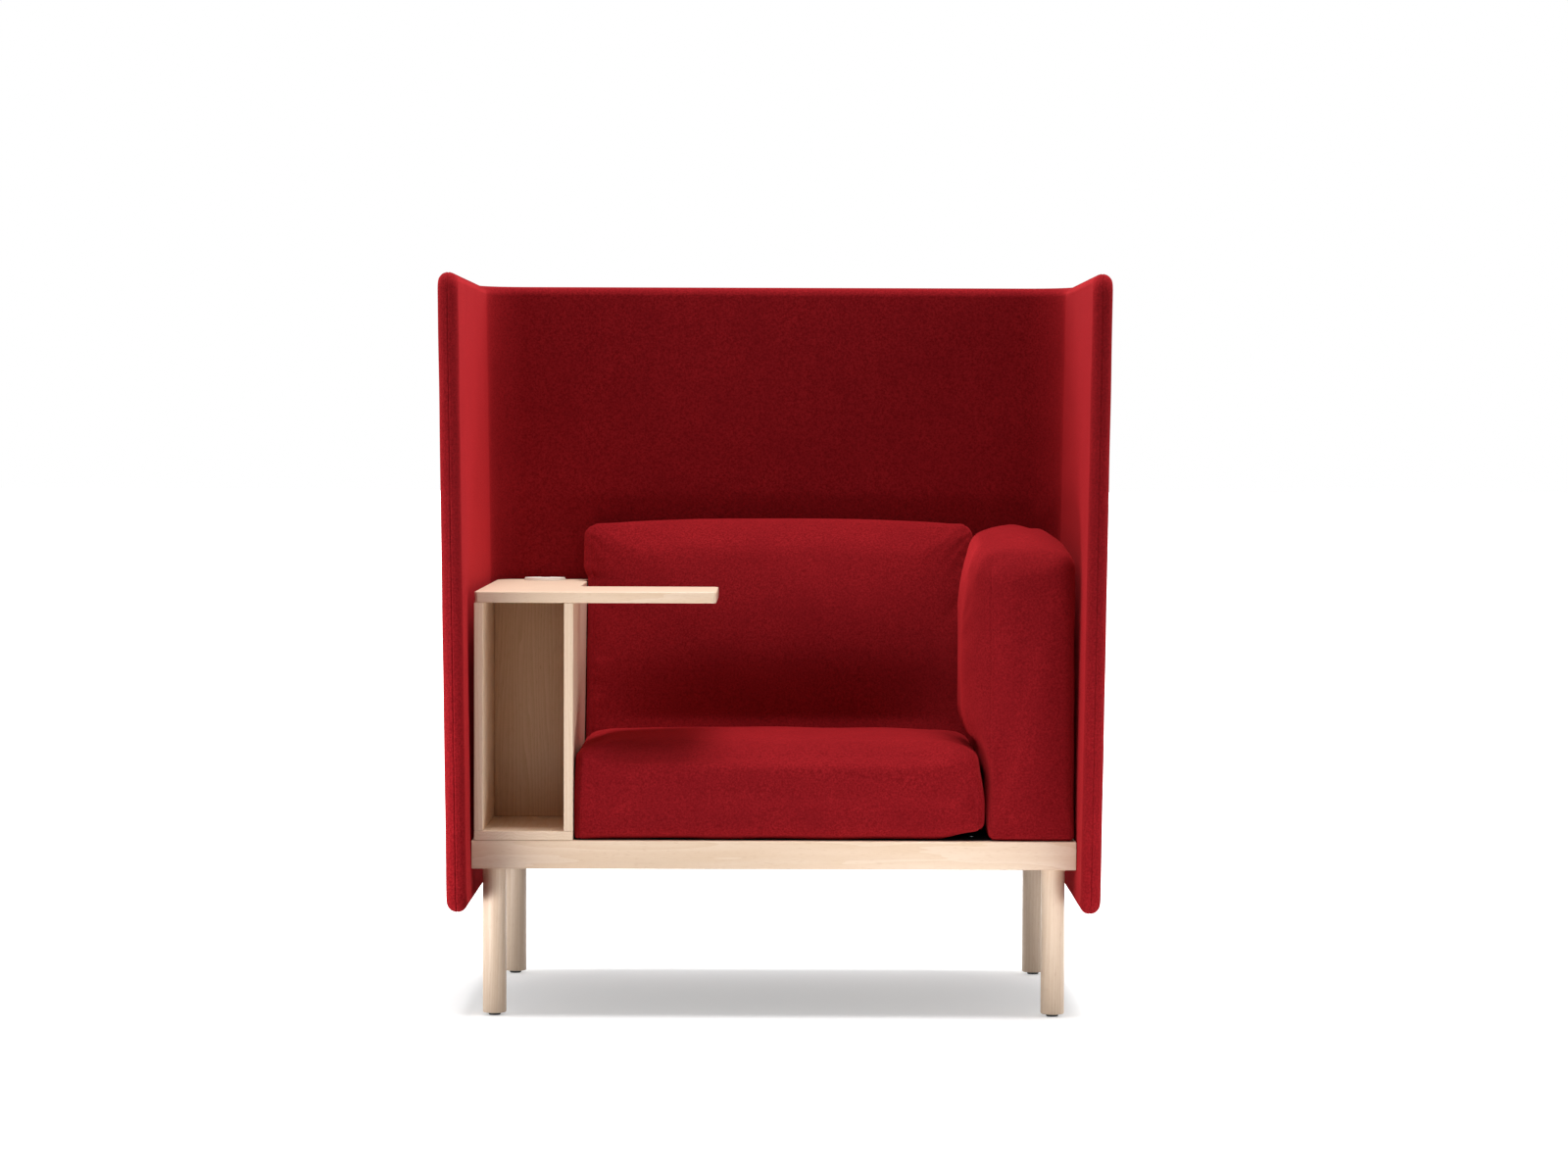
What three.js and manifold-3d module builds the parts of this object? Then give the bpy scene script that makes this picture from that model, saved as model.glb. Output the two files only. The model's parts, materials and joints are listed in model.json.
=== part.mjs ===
// Acoustic high back lounge chair: an upholstered U-shaped screen round an ash seat frame, with a seat,
// back and arm cushion, a magazine box on the left and a fixed side table on top of it.
// Millimetres, +Z up, the sitter faces -Y, and the origin is on the floor under the middle of the screen.
import * as THREE from "three";
import { mergeVertices } from "three/addons/utils/BufferGeometryUtils.js";
import Module from "manifold-3d";

const wasm = await Module();
wasm.setup();

// Clearances
const fitGap = 0.3; // between pieces that touch
const holeGap = 0.3; // round a bolt, screw or dowel in its hole
const overrun = 5; // how far a cutter runs past the face that it opens

// Screen: overall size, lean of its sides and upholstered edges
const screenDepth = 765;
const screenTop = 1217;
const screenBottom = 183;
const screenThickness = 33;
const screenHalfWidth = 528; // centre line to the outer face at the bottom edge
const screenFlare = 15; // how far each side leans out from bottom to top
const innerCornerRadius = 45; // plan radius of the rear corners, inside
const tipRadius = 30; // rounding of the front tips, seen from the side
const coreThickness = 12;
const coreInset = 20; // core edge to upholstered edge
const coverParting = 0.2; // each cover to the middle surface, along the edge seam

// Seat frame
const railTop = 291.5;
const railHeight = 46.5;
const railThickness = 22;
const tipReach = 115; // front tips beyond the front rail
const blockSize = 72; // corner blocks, square in plan
const crossRailGap = 62.3; // outer cross rails to the corner blocks
const dowelDiameter = 8;
const dowelLength = 40;
const dowelDepthShare = 0.35; // part of a dowel that sits in the front or rear rail

// Legs and glides
const legDiameter = 39;
const legChamfer = 2;
const legInset = 36; // leg centre to the end of the rails
const frontLegSetback = 39.5; // leg centre to the front rail's face
const rearLegSetback = 27; // leg centre to the rear rail's back face
const glideDiameter = 20;
const glideHeight = 4;
const glidePinDiameter = 6;
const glidePinLength = 14;
const legBoltDiameter = 8;
const legBoltInLeg = 45;
const legBoltInBlock = 26;

// Seat deck and its screws
const deckThickness = 15;
const screwDiameter = 4.5;
const screwHeadDiameter = 10;
const screwHeadHeight = 3;
const deckScrewLength = 35;
const deckScrewSetback = 90; // first and last screw to the frame's front and back

// Bolts that hold the screen to the rails
const screenBoltDiameter = 8;
const screenBoltHeadDiameter = 15;
const screenBoltHeadHeight = 4;
const screenBoltDrop = 27; // below the rails' top
const screenBoltInset = 150; // side bolts to the frame's front and back

// Magazine box
const boxWidth = 162;
const boxBoard = 15;
const boxSideGap = 4.5; // rail end to the box's left face
const boxRearGap = 31; // rear edge to the screen
const boxBackSetback = 266; // front edge to the inner back panel
const boxBackThickness = 9;
const boxScrewInset = 45; // fixing screws to the bottom board's sides
const boxScrewSetback = 150; // fixing screws to the frame's front and back
const boxScrewLength = 32;

// Side table
const tableTop = 699;
const tableThickness = 18;
const tableWidth = 396;
const tableRearGap = 13; // rear edge to the screen
const trayDepth = 252; // over the seat
const tableFrontRadius = 18;
const tableRearRadius = 45;
const tableInnerRadius = 22;
const tableEdgeRound = 3;

// Cable outlet in the table
const outletRearSetback = 46; // centre to the table's rear edge
const outletSide = 85; // centre to the table's left edge
const outletBore = 60;
const linerWall = 2.5;
const linerFlangeWidth = 7;
const linerFlangeHeight = 1.6;
const linerDepth = 26;
const capThickness = 2.4;
const capInset = 1.5; // cap rim to flange rim
const capSkirtDepth = 9;
const capSkirtWall = 2;
const notchWidth = 17;
const notchDepth = 19; // from the cap's rim

// Cushions
const seatHeight = 463; // crown above the floor
const seatCrown = 11;
const seatFrontSetback = 3; // front face to the front rail's face
const seatFrontBulge = 5;
const seatSidePull = 3;
const seatTopRound = 40;
const seatBottomRound = 9;
const seatDepthAtDeck = 366;
const seatArmGap = 3; // seat cushion to arm cushion
const seatBoxGap = 1; // seat cushion to the box
const backHeight = 806;
const backLeanShare = 0.3; // rise of the back cushion's face backwards, per height
const backCrown = 9;
const backFaceCrown = 10;
const backSidePull = 4;
const backTopRound = 34;
const backBottomRound = 8;
const backBoardThickness = 12;
const backBoardHeight = 455;
const backBoardInset = 20; // cushion end to board end
const armWidth = 141;
const armOuterGap = 4.5; // outer face to the rail's end
const armFrontSetback = 4;
const armRearSetback = 6; // rear face to the screen
const armEdgeHeight = 764; // front top edge above the floor
const armCrown = 38;
const armBulge = 27;
const armFrontRound = 16;
const armRearRound = 62;
const armFrontBulge = 4;
const armBoardThickness = 12;
const armBoardHeight = 400;
const armBoardSetback = 24;
const armBoardRearSetback = 47; // board end to the cushion's rear face

// Places that follow from the sizes
const tipY = -screenDepth / 2;
const railFaceY = tipY + tipReach;
const screenInnerBackY = screenDepth / 2 - screenThickness;
const frameBackY = screenInnerBackY - fitGap;
const railBottom = railTop - railHeight;
const railEndX = innerHalfWidthAt(railBottom) - fitGap;
const deckBottom = railTop - deckThickness;
const sideRailX = railEndX - railThickness;
const crossRailX = sideRailX - fitGap - blockSize - crossRailGap - railThickness / 2;
const innerFrontY = railFaceY + railThickness;
const innerRearY = frameBackY - railThickness;
const boxLeftX = -railEndX + boxSideGap;
const boxRightX = boxLeftX + boxWidth;
const boxRearY = screenInnerBackY - boxRearGap;
const boxFloorTop = railTop + fitGap + boxBoard;
const wallBottom = boxFloorTop + fitGap;
const tableUnder = tableTop - tableThickness;
const wallTop = tableUnder - fitGap;
const outletX = boxLeftX + outletSide;
const tableRearY = screenInnerBackY - tableRearGap;
const outletY = tableRearY - outletRearSetback;
const armOuterX = railEndX - armOuterGap;
const armInnerX = armOuterX - armWidth;
const seatLeftX = boxRightX + seatBoxGap;
const seatRightX = armInnerX - seatArmGap;
const backFaceY = railFaceY + seatDepthAtDeck; // back cushion's face at deck level
const backBoardY = frameBackY - backBoardThickness;

// Facet counts
const roundSides = 24;
const smallSides = 10;
const cornerSteps = 7;

// Finishes
const finishes = {
  wool: { color: 0xb8323c, roughness: 0.92, metalness: 0 },
  ash: { color: 0xe6cba8, roughness: 0.45, metalness: 0 },
  plywood: { color: 0xcfae84, roughness: 0.6, metalness: 0 },
  deckFelt: { color: 0x1c1b1d, roughness: 0.95, metalness: 0 },
  steel: { color: 0xa9abae, roughness: 0.35, metalness: 1 },
  glidePlastic: { color: 0x202022, roughness: 0.6, metalness: 0 },
  outletPlastic: { color: 0xefe4d8, roughness: 0.4, metalness: 0 },
};

const chair = new THREE.Group();

// Screen's outer half width at a height
function halfWidthAt(z) {
  return screenHalfWidth + (screenFlare * (z - screenBottom)) / (screenTop - screenBottom);
}

function innerHalfWidthAt(z) {
  return halfWidthAt(z) - screenThickness;
}

function addPiece(name, geometry, finish) {
  const piece = new THREE.Mesh(geometry, new THREE.MeshStandardMaterial(finishes[finish]));
  piece.name = name;
  chair.add(piece);
}

function positionsOnly(geometry) {
  const bare = geometry.clone();
  bare.deleteAttribute("normal");
  bare.deleteAttribute("uv");
  return mergeVertices(bare, fitGap / 100);
}

function solidOf(geometry) {
  const merged = positionsOnly(geometry);
  const vertProperties = new Float32Array(merged.attributes.position.array);
  const triVerts = new Uint32Array(merged.index.array);
  return new wasm.Manifold(new wasm.Mesh({ numProp: 3, vertProperties, triVerts }));
}

function geometryOf(solid) {
  const mesh = solid.getMesh();
  const geometry = new THREE.BufferGeometry();
  geometry.setAttribute("position", new THREE.BufferAttribute(new Float32Array(mesh.vertProperties), 3));
  geometry.setIndex(new THREE.BufferAttribute(new Uint32Array(mesh.triVerts), 1));
  const faceted = geometry.toNonIndexed();
  faceted.computeVertexNormals();
  return faceted;
}

function cut(geometry, cutters) {
  const solid = cutters.reduce((left, cutter) => left.subtract(solidOf(cutter)), solidOf(geometry));
  return geometryOf(solid);
}

function joined(geometries) {
  const solids = geometries.map(solidOf);
  return geometryOf(solids.reduce((sum, solid) => sum.add(solid)));
}

function common(geometry, limit) {
  return geometryOf(solidOf(geometry).intersect(solidOf(limit)));
}

// Box between two corners
function block(x0, x1, y0, y1, z0, z1) {
  const geometry = new THREE.BoxGeometry(x1 - x0, y1 - y0, z1 - z0);
  return geometry.translate((x0 + x1) / 2, (y0 + y1) / 2, (z0 + z1) / 2);
}

// Round bar along an axis from a start point, its length in the axis's direction
function bar(axis, start, length, diameter, sides = smallSides) {
  const geometry = new THREE.CylinderGeometry(diameter / 2, diameter / 2, Math.abs(length), sides);
  geometry.translate(0, length / 2, 0);
  if (axis === "x") geometry.rotateZ(-Math.PI / 2);
  if (axis === "z") geometry.rotateX(Math.PI / 2);
  return geometry.translate(...start);
}

// Turned body from [radius, height] pairs, standing at x, y
function turned(profile, x, y, sides = roundSides) {
  const points = profile.map(([radius, height]) => new THREE.Vector2(radius, height));
  const geometry = new THREE.LatheGeometry(points, sides);
  return geometry.rotateX(Math.PI / 2).translate(x, y, 0);
}

// Distances from the screen's edge at which its half-round edge is sampled, up to the full thickness
function edgeStops(radius) {
  const steps = 3;
  const stops = [];
  for (let step = 0; step <= steps; step += 1) {
    stops.push(radius * (1 - Math.cos((step / steps) * (Math.PI / 2))));
  }
  return stops;
}

// Columns of the U-shaped middle surface from the right front tip round to the left one. Each has its
// developed distance to the nearer tip and its plan point and outward normal at a height.
function screenColumns(inset, edge) {
  const middleX = (z) => halfWidthAt(z) - screenThickness / 2;
  const backY = screenDepth / 2 - screenThickness / 2;
  const radius = innerCornerRadius + screenThickness / 2;
  const startY = tipY + inset;
  const bendY = backY - radius;
  const right = [];
  for (const reach of [...edge, tipRadius, (bendY - startY) / 2]) {
    right.push({ reach, at: (z) => ({ x: middleX(z), y: startY + reach, nx: 1, ny: 0 }) });
  }
  for (let step = 0; step <= cornerSteps; step += 1) {
    const angle = (step / cornerSteps) * (Math.PI / 2);
    const [nx, ny] = [Math.cos(angle), Math.sin(angle)];
    const at = (z) => ({ x: middleX(z) - radius + radius * nx, y: bendY + radius * ny, nx, ny });
    right.push({ reach: bendY - startY + radius * angle, at });
  }
  const mirrored = right.map(({ reach, at }) => {
    const opposite = (z) => ({ ...at(z), x: -at(z).x, nx: -at(z).nx });
    return { reach, at: opposite };
  });
  const middle = { reach: screenDepth + screenHalfWidth, at: () => ({ x: 0, y: backY, nx: 0, ny: 1 }) };
  return [...right, middle, ...mirrored.reverse()];
}

// Closed layer of the screen between two offsets from its middle surface. Both are functions of the
// distance to the layer's rounded outline, which lies `inset` inside the screen's own. `edge` holds the
// distances from the outline at which the layer is sampled.
function screenLayer(inset, edge, innerOffset, outerOffset) {
  const radius = Math.max(tipRadius - inset, 0);
  const low = screenBottom + inset;
  const high = screenTop - inset;
  const rows = [...edge.map((d) => [0, d]), [0.5, 0], ...edge.map((d) => [1, d]).reverse()];
  const columns = screenColumns(inset, edge);
  const positions = [];
  const sideDistance = (reach, drop) => {
    if (reach >= radius || drop >= radius) return Math.min(reach, drop);
    return radius - Math.hypot(radius - reach, radius - drop);
  };
  for (const offset of [outerOffset, innerOffset]) {
    for (const { reach, at } of columns) {
      const slack = Math.max(radius - reach, 0);
      const rise = radius - Math.sqrt(radius * radius - slack * slack);
      for (const [side, d] of rows) {
        const lift = side === 0.5 ? (high - low) / 2 : rise + d;
        const z = side === 1 ? high - lift : low + lift;
        const { x, y, nx, ny } = at(z);
        const out = offset(Math.max(sideDistance(reach, lift), 0));
        positions.push(x + nx * out, y + ny * out, z);
      }
    }
  }
  return shellBetween(positions, columns.length, rows.length);
}

// Closed surface from two grids of the same size, the outer one first, joined along their borders
function shellBetween(positions, columnCount, rowCount) {
  const back = columnCount * rowCount;
  const triangles = [];
  const quad = (a, b, c, d) => triangles.push(a, b, c, a, c, d);
  const at = (column, row) => column * rowCount + row;
  for (let i = 0; i + 1 < columnCount; i += 1) {
    for (let j = 0; j + 1 < rowCount; j += 1) {
      const corners = [at(i, j), at(i + 1, j), at(i + 1, j + 1), at(i, j + 1)];
      quad(...corners);
      quad(...corners.map((index) => index + back).reverse());
    }
    quad(at(i, 0), back + at(i, 0), back + at(i + 1, 0), at(i + 1, 0));
    const last = rowCount - 1;
    quad(at(i + 1, last), back + at(i + 1, last), back + at(i, last), at(i, last));
  }
  for (let j = 0; j + 1 < rowCount; j += 1) {
    const end = columnCount - 1;
    quad(at(0, j + 1), back + at(0, j + 1), back + at(0, j), at(0, j));
    quad(at(end, j), back + at(end, j), back + at(end, j + 1), at(end, j + 1));
  }
  const geometry = new THREE.BufferGeometry();
  geometry.setAttribute("position", new THREE.Float32BufferAttribute(positions, 3));
  geometry.setIndex(triangles);
  return withoutSlivers(mergeVertices(geometry, fitGap / 100));
}

function withoutSlivers(geometry) {
  const kept = [];
  const { array } = geometry.index;
  for (let i = 0; i < array.length; i += 3) {
    const [a, b, c] = [array[i], array[i + 1], array[i + 2]];
    if (a !== b && b !== c && c !== a) kept.push(a, b, c);
  }
  geometry.setIndex(kept);
  return geometry;
}

// Half-round build-up of a cover over its edge, from nothing to the full depth
function coverDepth(distance) {
  const radius = screenThickness / 2;
  const slack = Math.max(radius - distance, 0);
  return (Math.sqrt(radius * radius - slack * slack) * (radius - coverParting)) / radius;
}

function coreLayer(growth) {
  const half = coreThickness / 2 + growth;
  return screenLayer(coreInset - growth, [0, tipRadius / 9], () => -half, () => half);
}

// Bolt places on the three rails that carry the screen, with the outward direction. Each side rail has
// two, and the rear rail has one between each pair of cross rails.
function screenBoltPlaces() {
  const frontY = railFaceY + screenBoltInset;
  const rearY = frameBackY - screenBoltInset;
  const rearX = crossRailX / 2;
  return [
    { name: "screen_bolt_left_front", axis: "x", sign: -1, along: frontY },
    { name: "screen_bolt_left_rear", axis: "x", sign: -1, along: rearY },
    { name: "screen_bolt_right_front", axis: "x", sign: 1, along: frontY },
    { name: "screen_bolt_right_rear", axis: "x", sign: 1, along: rearY },
    { name: "screen_bolt_back_left", axis: "y", sign: 1, along: -rearX },
    { name: "screen_bolt_back_right", axis: "y", sign: 1, along: rearX },
  ];
}

function screenBoltBar(place, from, length, diameter) {
  const z = railTop - screenBoltDrop;
  const start = place.axis === "x" ? [place.sign * from, place.along, z] : [place.along, from, z];
  return bar(place.axis, start, place.sign * length, diameter);
}

// Seating face of a bolt's head and the bolt's end in the core
function screenBoltSpan(place) {
  const seat = place.axis === "x" ? sideRailX : innerRearY;
  const face = place.axis === "x" ? innerHalfWidthAt(railTop) : screenInnerBackY;
  const tip = face + screenThickness / 2 + coreThickness / 4;
  return { seat, tip };
}

function screenBolt(place) {
  const { seat, tip } = screenBoltSpan(place);
  const head = screenBoltBar(place, seat - fitGap, -screenBoltHeadHeight, screenBoltHeadDiameter);
  const shank = screenBoltBar(place, seat - fitGap, tip - seat + fitGap, screenBoltDiameter);
  return joined([head, shank]);
}

function screenBoltHole(place) {
  const { seat, tip } = screenBoltSpan(place);
  const length = tip - seat + overrun + holeGap;
  return screenBoltBar(place, seat - overrun, length, screenBoltDiameter + 2 * holeGap);
}

function addScreen() {
  const holes = screenBoltPlaces().map(screenBoltHole);
  addPiece("screen_core", cut(coreLayer(0), holes), "plywood");
  const edge = edgeStops(screenThickness / 2);
  const parting = () => coverParting;
  const outward = (d) => coverParting + coverDepth(d);
  const pocket = coreLayer(fitGap);
  addPiece("screen_outer_cover", cut(screenLayer(0, edge, parting, outward), [pocket, ...holes]), "wool");
  const inward = (d) => -coverParting - coverDepth(d);
  const innerHalf = screenLayer(0, edge, inward, () => -coverParting);
  addPiece("screen_inner_cover", cut(innerHalf, [pocket, ...holes]), "wool");
  for (const place of screenBoltPlaces()) addPiece(place.name, screenBolt(place), "steel");
}

// Outline inside the screen that the frame's rear corners are rounded to
function frameLimit() {
  const radius = innerCornerRadius + fitGap;
  const shape = new THREE.Shape();
  shape.moveTo(-railEndX, railFaceY - overrun);
  shape.lineTo(railEndX, railFaceY - overrun);
  shape.lineTo(railEndX, frameBackY - radius);
  shape.absarc(railEndX - radius, frameBackY - radius, radius, 0, Math.PI / 2, false);
  shape.absarc(radius - railEndX, frameBackY - radius, radius, Math.PI / 2, Math.PI, false);
  const depth = railHeight + 2 * overrun;
  const settings = { depth, bevelEnabled: false, curveSegments: cornerSteps };
  return new THREE.ExtrudeGeometry(shape, settings).translate(0, 0, railBottom - overrun);
}

const crossRailBottom = railBottom;
const crossRailTop = deckBottom - fitGap;

// One dowel at each corner of the frame, between a corner block and the front or rear rail
const dowelX = sideRailX - fitGap - blockSize / 2;
const dowelZ = (crossRailBottom + crossRailTop) / 2;
const frameDowels = [
  ["frame_dowel_front_left", -dowelX, innerFrontY, 1],
  ["frame_dowel_front_right", dowelX, innerFrontY, 1],
  ["frame_dowel_rear_left", -dowelX, innerRearY, -1],
  ["frame_dowel_rear_right", dowelX, innerRearY, -1],
];

// A dowel runs from inside the front or rear rail into the block
function frameDowel([, x, y, direction], growth) {
  const start = y - direction * (dowelLength * dowelDepthShare + growth);
  const length = direction * (dowelLength + 2 * growth);
  return bar("y", [x, start, dowelZ], length, dowelDiameter + 2 * growth);
}

function addFrame() {
  const limit = frameLimit();
  const holes = frameDowels.map((dowel) => frameDowel(dowel, holeGap));
  const boltHoles = screenBoltPlaces().map(screenBoltHole);
  const frontRail = block(-railEndX, railEndX, railFaceY, innerFrontY, railBottom, railTop);
  addPiece("front_rail", cut(frontRail, holes), "ash");
  const rearRail = block(-railEndX, railEndX, innerRearY, frameBackY, railBottom, railTop);
  addPiece("rear_rail", cut(common(rearRail, limit), [...holes, ...boltHoles]), "ash");
  const from = innerFrontY + fitGap;
  const to = innerRearY - fitGap;
  for (const [name, side] of [["left_rail", -1], ["right_rail", 1]]) {
    const [x0, x1] = [side * railEndX, side * sideRailX].sort((a, b) => a - b);
    const rail = common(block(x0, x1, from, to, railBottom, railTop), limit);
    addPiece(name, cut(rail, boltHoles), "ash");
  }
  const half = railThickness / 2;
  for (const [name, side] of [["cross_rail_left", -1], ["cross_rail_centre", 0], ["cross_rail_right", 1]]) {
    const x = side * crossRailX;
    const rail = block(x - half, x + half, from, to, crossRailBottom, crossRailTop);
    addPiece(name, cut(rail, deckScrewHoles()), "plywood");
  }
  for (const dowel of frameDowels) addPiece(dowel[0], frameDowel(dowel, 0), "ash");
}

const legPlaces = [
  ["front_left", -1, railFaceY + frontLegSetback],
  ["front_right", 1, railFaceY + frontLegSetback],
  ["rear_left", -1, frameBackY - rearLegSetback],
  ["rear_right", 1, frameBackY - rearLegSetback],
];

const legX = railEndX - legInset;
const legTop = railBottom - fitGap;

function leg(x, y) {
  const radius = legDiameter / 2;
  const boltHole = legBoltDiameter / 2 + holeGap;
  const pinHole = glidePinDiameter / 2 + holeGap;
  const boltBottom = legTop - legBoltInLeg - holeGap;
  const pinTop = glideHeight + glidePinLength + holeGap;
  const bottom = glideHeight + fitGap;
  const profile = [
    [0, pinTop],
    [pinHole, pinTop],
    [pinHole, bottom],
    [radius - legChamfer, bottom],
    [radius, bottom + legChamfer],
    [radius, legTop],
    [boltHole, legTop],
    [boltHole, boltBottom],
    [0, boltBottom],
  ];
  return turned(profile, x, y);
}

function glide(x, y) {
  const radius = glideDiameter / 2;
  const pin = glidePinDiameter / 2;
  const top = glideHeight + glidePinLength;
  const profile = [[0, 0], [radius, 0], [radius, glideHeight], [pin, glideHeight], [pin, top], [0, top]];
  return turned(profile, x, y, roundSides / 2);
}

function cornerBlock(side, front) {
  const x0 = sideRailX - fitGap;
  const [left, right] = [side * x0, side * (x0 - blockSize)].sort((a, b) => a - b);
  const y = front ? innerFrontY + fitGap : innerRearY - fitGap - blockSize;
  return block(left, right, y, y + blockSize, railBottom, crossRailTop);
}

function addLegs() {
  for (const [corner, side, y] of legPlaces) {
    const x = side * legX;
    const boltBottom = legTop - legBoltInLeg;
    const boltLength = legBoltInLeg + legBoltInBlock;
    const hole = bar("z", [x, y, boltBottom], boltLength + holeGap, legBoltDiameter + 2 * holeGap);
    const dowelHoles = frameDowels.map((dowel) => frameDowel(dowel, holeGap));
    addPiece(`corner_block_${corner}`, cut(cornerBlock(side, y < 0), [hole, ...dowelHoles]), "plywood");
    addPiece(`leg_${corner}`, leg(x, y), "ash");
    addPiece(`glide_${corner}`, glide(x, y), "glidePlastic");
    addPiece(`leg_bolt_${corner}`, bar("z", [x, y, boltBottom], boltLength, legBoltDiameter), "steel");
  }
}

// Two screws into each cross rail, near the front and the back
function deckScrewPlaces() {
  const rows = [["front", railFaceY + deckScrewSetback], ["rear", frameBackY - deckScrewSetback]];
  const columns = [["left", -1], ["centre", 0], ["right", 1]];
  return rows.flatMap(([row, y]) => {
    return columns.map(([column, side]) => {
      return { name: `deck_screw_${row}_${column}`, x: side * crossRailX, y };
    });
  });
}

// Countersunk screw with its head level with `top`, grown by `growth` for its hole
function screwAt({ x, y }, top, length, growth) {
  const shank = screwDiameter / 2 + growth;
  const head = screwHeadDiameter / 2 + growth;
  const base = top - length - growth;
  const crown = growth > 0 ? overrun : 0;
  const profile = [[0, base], [shank, base], [shank, top - screwHeadHeight - growth], [head, top - growth]];
  profile.push([head, top + crown], [0, top + crown]);
  return turned(growth > 0 ? profile : profile.filter((_, index) => index !== 4), x, y, smallSides);
}

function deckScrewHoles() {
  return deckScrewPlaces().map((place) => screwAt(place, railTop - fitGap, deckScrewLength, holeGap));
}

function boxScrewPlaces() {
  const columns = [["left", boxLeftX + boxScrewInset], ["right", boxRightX - boxScrewInset]];
  const rows = [["front", railFaceY + boxScrewSetback], ["rear", frameBackY - boxScrewSetback]];
  return columns.flatMap(([column, x]) => {
    return rows.map(([row, y]) => ({ name: `box_screw_${row}_${column}`, x, y }));
  });
}

// Pan-head screw driven up through the deck into the box's bottom board
function boxScrew({ x, y }, growth) {
  const base = deckBottom - fitGap;
  const shank = screwDiameter / 2 + growth;
  const head = screwHeadDiameter / 2;
  const top = base - screwHeadHeight + boxScrewLength + growth;
  const headBottom = base - screwHeadHeight;
  const hole = [[0, headBottom], [shank, headBottom], [shank, top], [0, top]];
  const screw = [[0, headBottom], [head, headBottom], [head, base], [shank, base], [shank, top], [0, top]];
  return turned(growth > 0 ? hole : screw, x, y, smallSides);
}

function addDeck() {
  const x = sideRailX - fitGap;
  const deck = block(-x, x, innerFrontY + fitGap, innerRearY - fitGap, deckBottom, railTop);
  const boxHoles = boxScrewPlaces().map((place) => boxScrew(place, holeGap));
  addPiece("seat_deck", cut(deck, [...deckScrewHoles(), ...boxHoles]), "deckFelt");
  for (const place of deckScrewPlaces()) {
    addPiece(place.name, screwAt(place, railTop - fitGap, deckScrewLength, 0), "steel");
  }
}

function addBox() {
  const bottom = block(boxLeftX, boxRightX, railFaceY, boxRearY, railTop + fitGap, boxFloorTop);
  const screwHoles = boxScrewPlaces().map((place) => boxScrew(place, holeGap));
  addPiece("box_bottom", cut(bottom, screwHoles), "ash");
  const leftInner = boxLeftX + boxBoard;
  const rightInner = boxRightX - boxBoard;
  addPiece("box_left_wall", block(boxLeftX, leftInner, railFaceY, boxRearY, wallBottom, wallTop), "ash");
  addPiece("box_right_wall", block(rightInner, boxRightX, railFaceY, boxRearY, wallBottom, wallTop), "ash");
  const panelY = railFaceY + boxBackSetback;
  const panelBack = panelY + boxBackThickness;
  const panel = block(leftInner + fitGap, rightInner - fitGap, panelY, panelBack, wallBottom, wallTop);
  addPiece("box_back_panel", panel, "ash");
  for (const place of boxScrewPlaces()) addPiece(place.name, boxScrew(place, 0), "steel");
}

// Plan outline of the table: a deep arm along the box and a shallower tray over the seat
function tableOutline() {
  const front = railFaceY;
  const [left, right] = [boxLeftX, boxLeftX + tableWidth];
  const armX = boxRightX; // level with the box's right wall
  const trayBack = front + trayDepth;
  const [corner, rear, inner] = [tableFrontRadius, tableRearRadius, tableInnerRadius];
  const quarter = Math.PI / 2;
  const shape = new THREE.Shape();
  shape.moveTo(left + corner, front);
  shape.absarc(right - corner, front + corner, corner, -quarter, 0, false);
  shape.absarc(right - corner, trayBack - corner, corner, 0, quarter, false);
  shape.absarc(armX + inner, trayBack + inner, inner, -quarter, -2 * quarter, true);
  shape.absarc(armX - corner, tableRearY - corner, corner, 0, quarter, false);
  shape.absarc(left + rear, tableRearY - rear, rear, quarter, 2 * quarter, false);
  shape.absarc(left + corner, front + corner, corner, 2 * quarter, 3 * quarter, false);
  return shape;
}

function tableBoard() {
  const round = tableEdgeRound;
  const geometry = new THREE.ExtrudeGeometry(tableOutline(), {
    depth: tableThickness - 2 * round,
    curveSegments: cornerSteps,
    bevelThickness: round,
    bevelSize: round,
    bevelOffset: -round,
    bevelSegments: 2,
  });
  return geometry.translate(0, 0, tableUnder + round);
}

function addTable() {
  const depth = tableThickness + 2 * overrun;
  const bore = bar("z", [outletX, outletY, tableUnder - overrun], depth, outletBore, roundSides);
  addPiece("table_top", cut(tableBoard(), [bore]), "ash");
}

// Sleeve in the table's bore with a flange on top
function outletLiner() {
  const outer = outletBore / 2 - fitGap;
  const flange = outletBore / 2 + linerFlangeWidth;
  const bottom = tableTop - linerDepth;
  const seat = tableTop + fitGap;
  const profile = [
    [outer - linerWall, bottom],
    [outer, bottom],
    [outer, seat],
    [flange, seat],
    [flange, seat + linerFlangeHeight],
    [outer - linerWall, seat + linerFlangeHeight],
    [outer - linerWall, bottom],
  ];
  return turned(profile, outletX, outletY);
}

const capUnder = tableTop + fitGap + linerFlangeHeight + fitGap;

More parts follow.
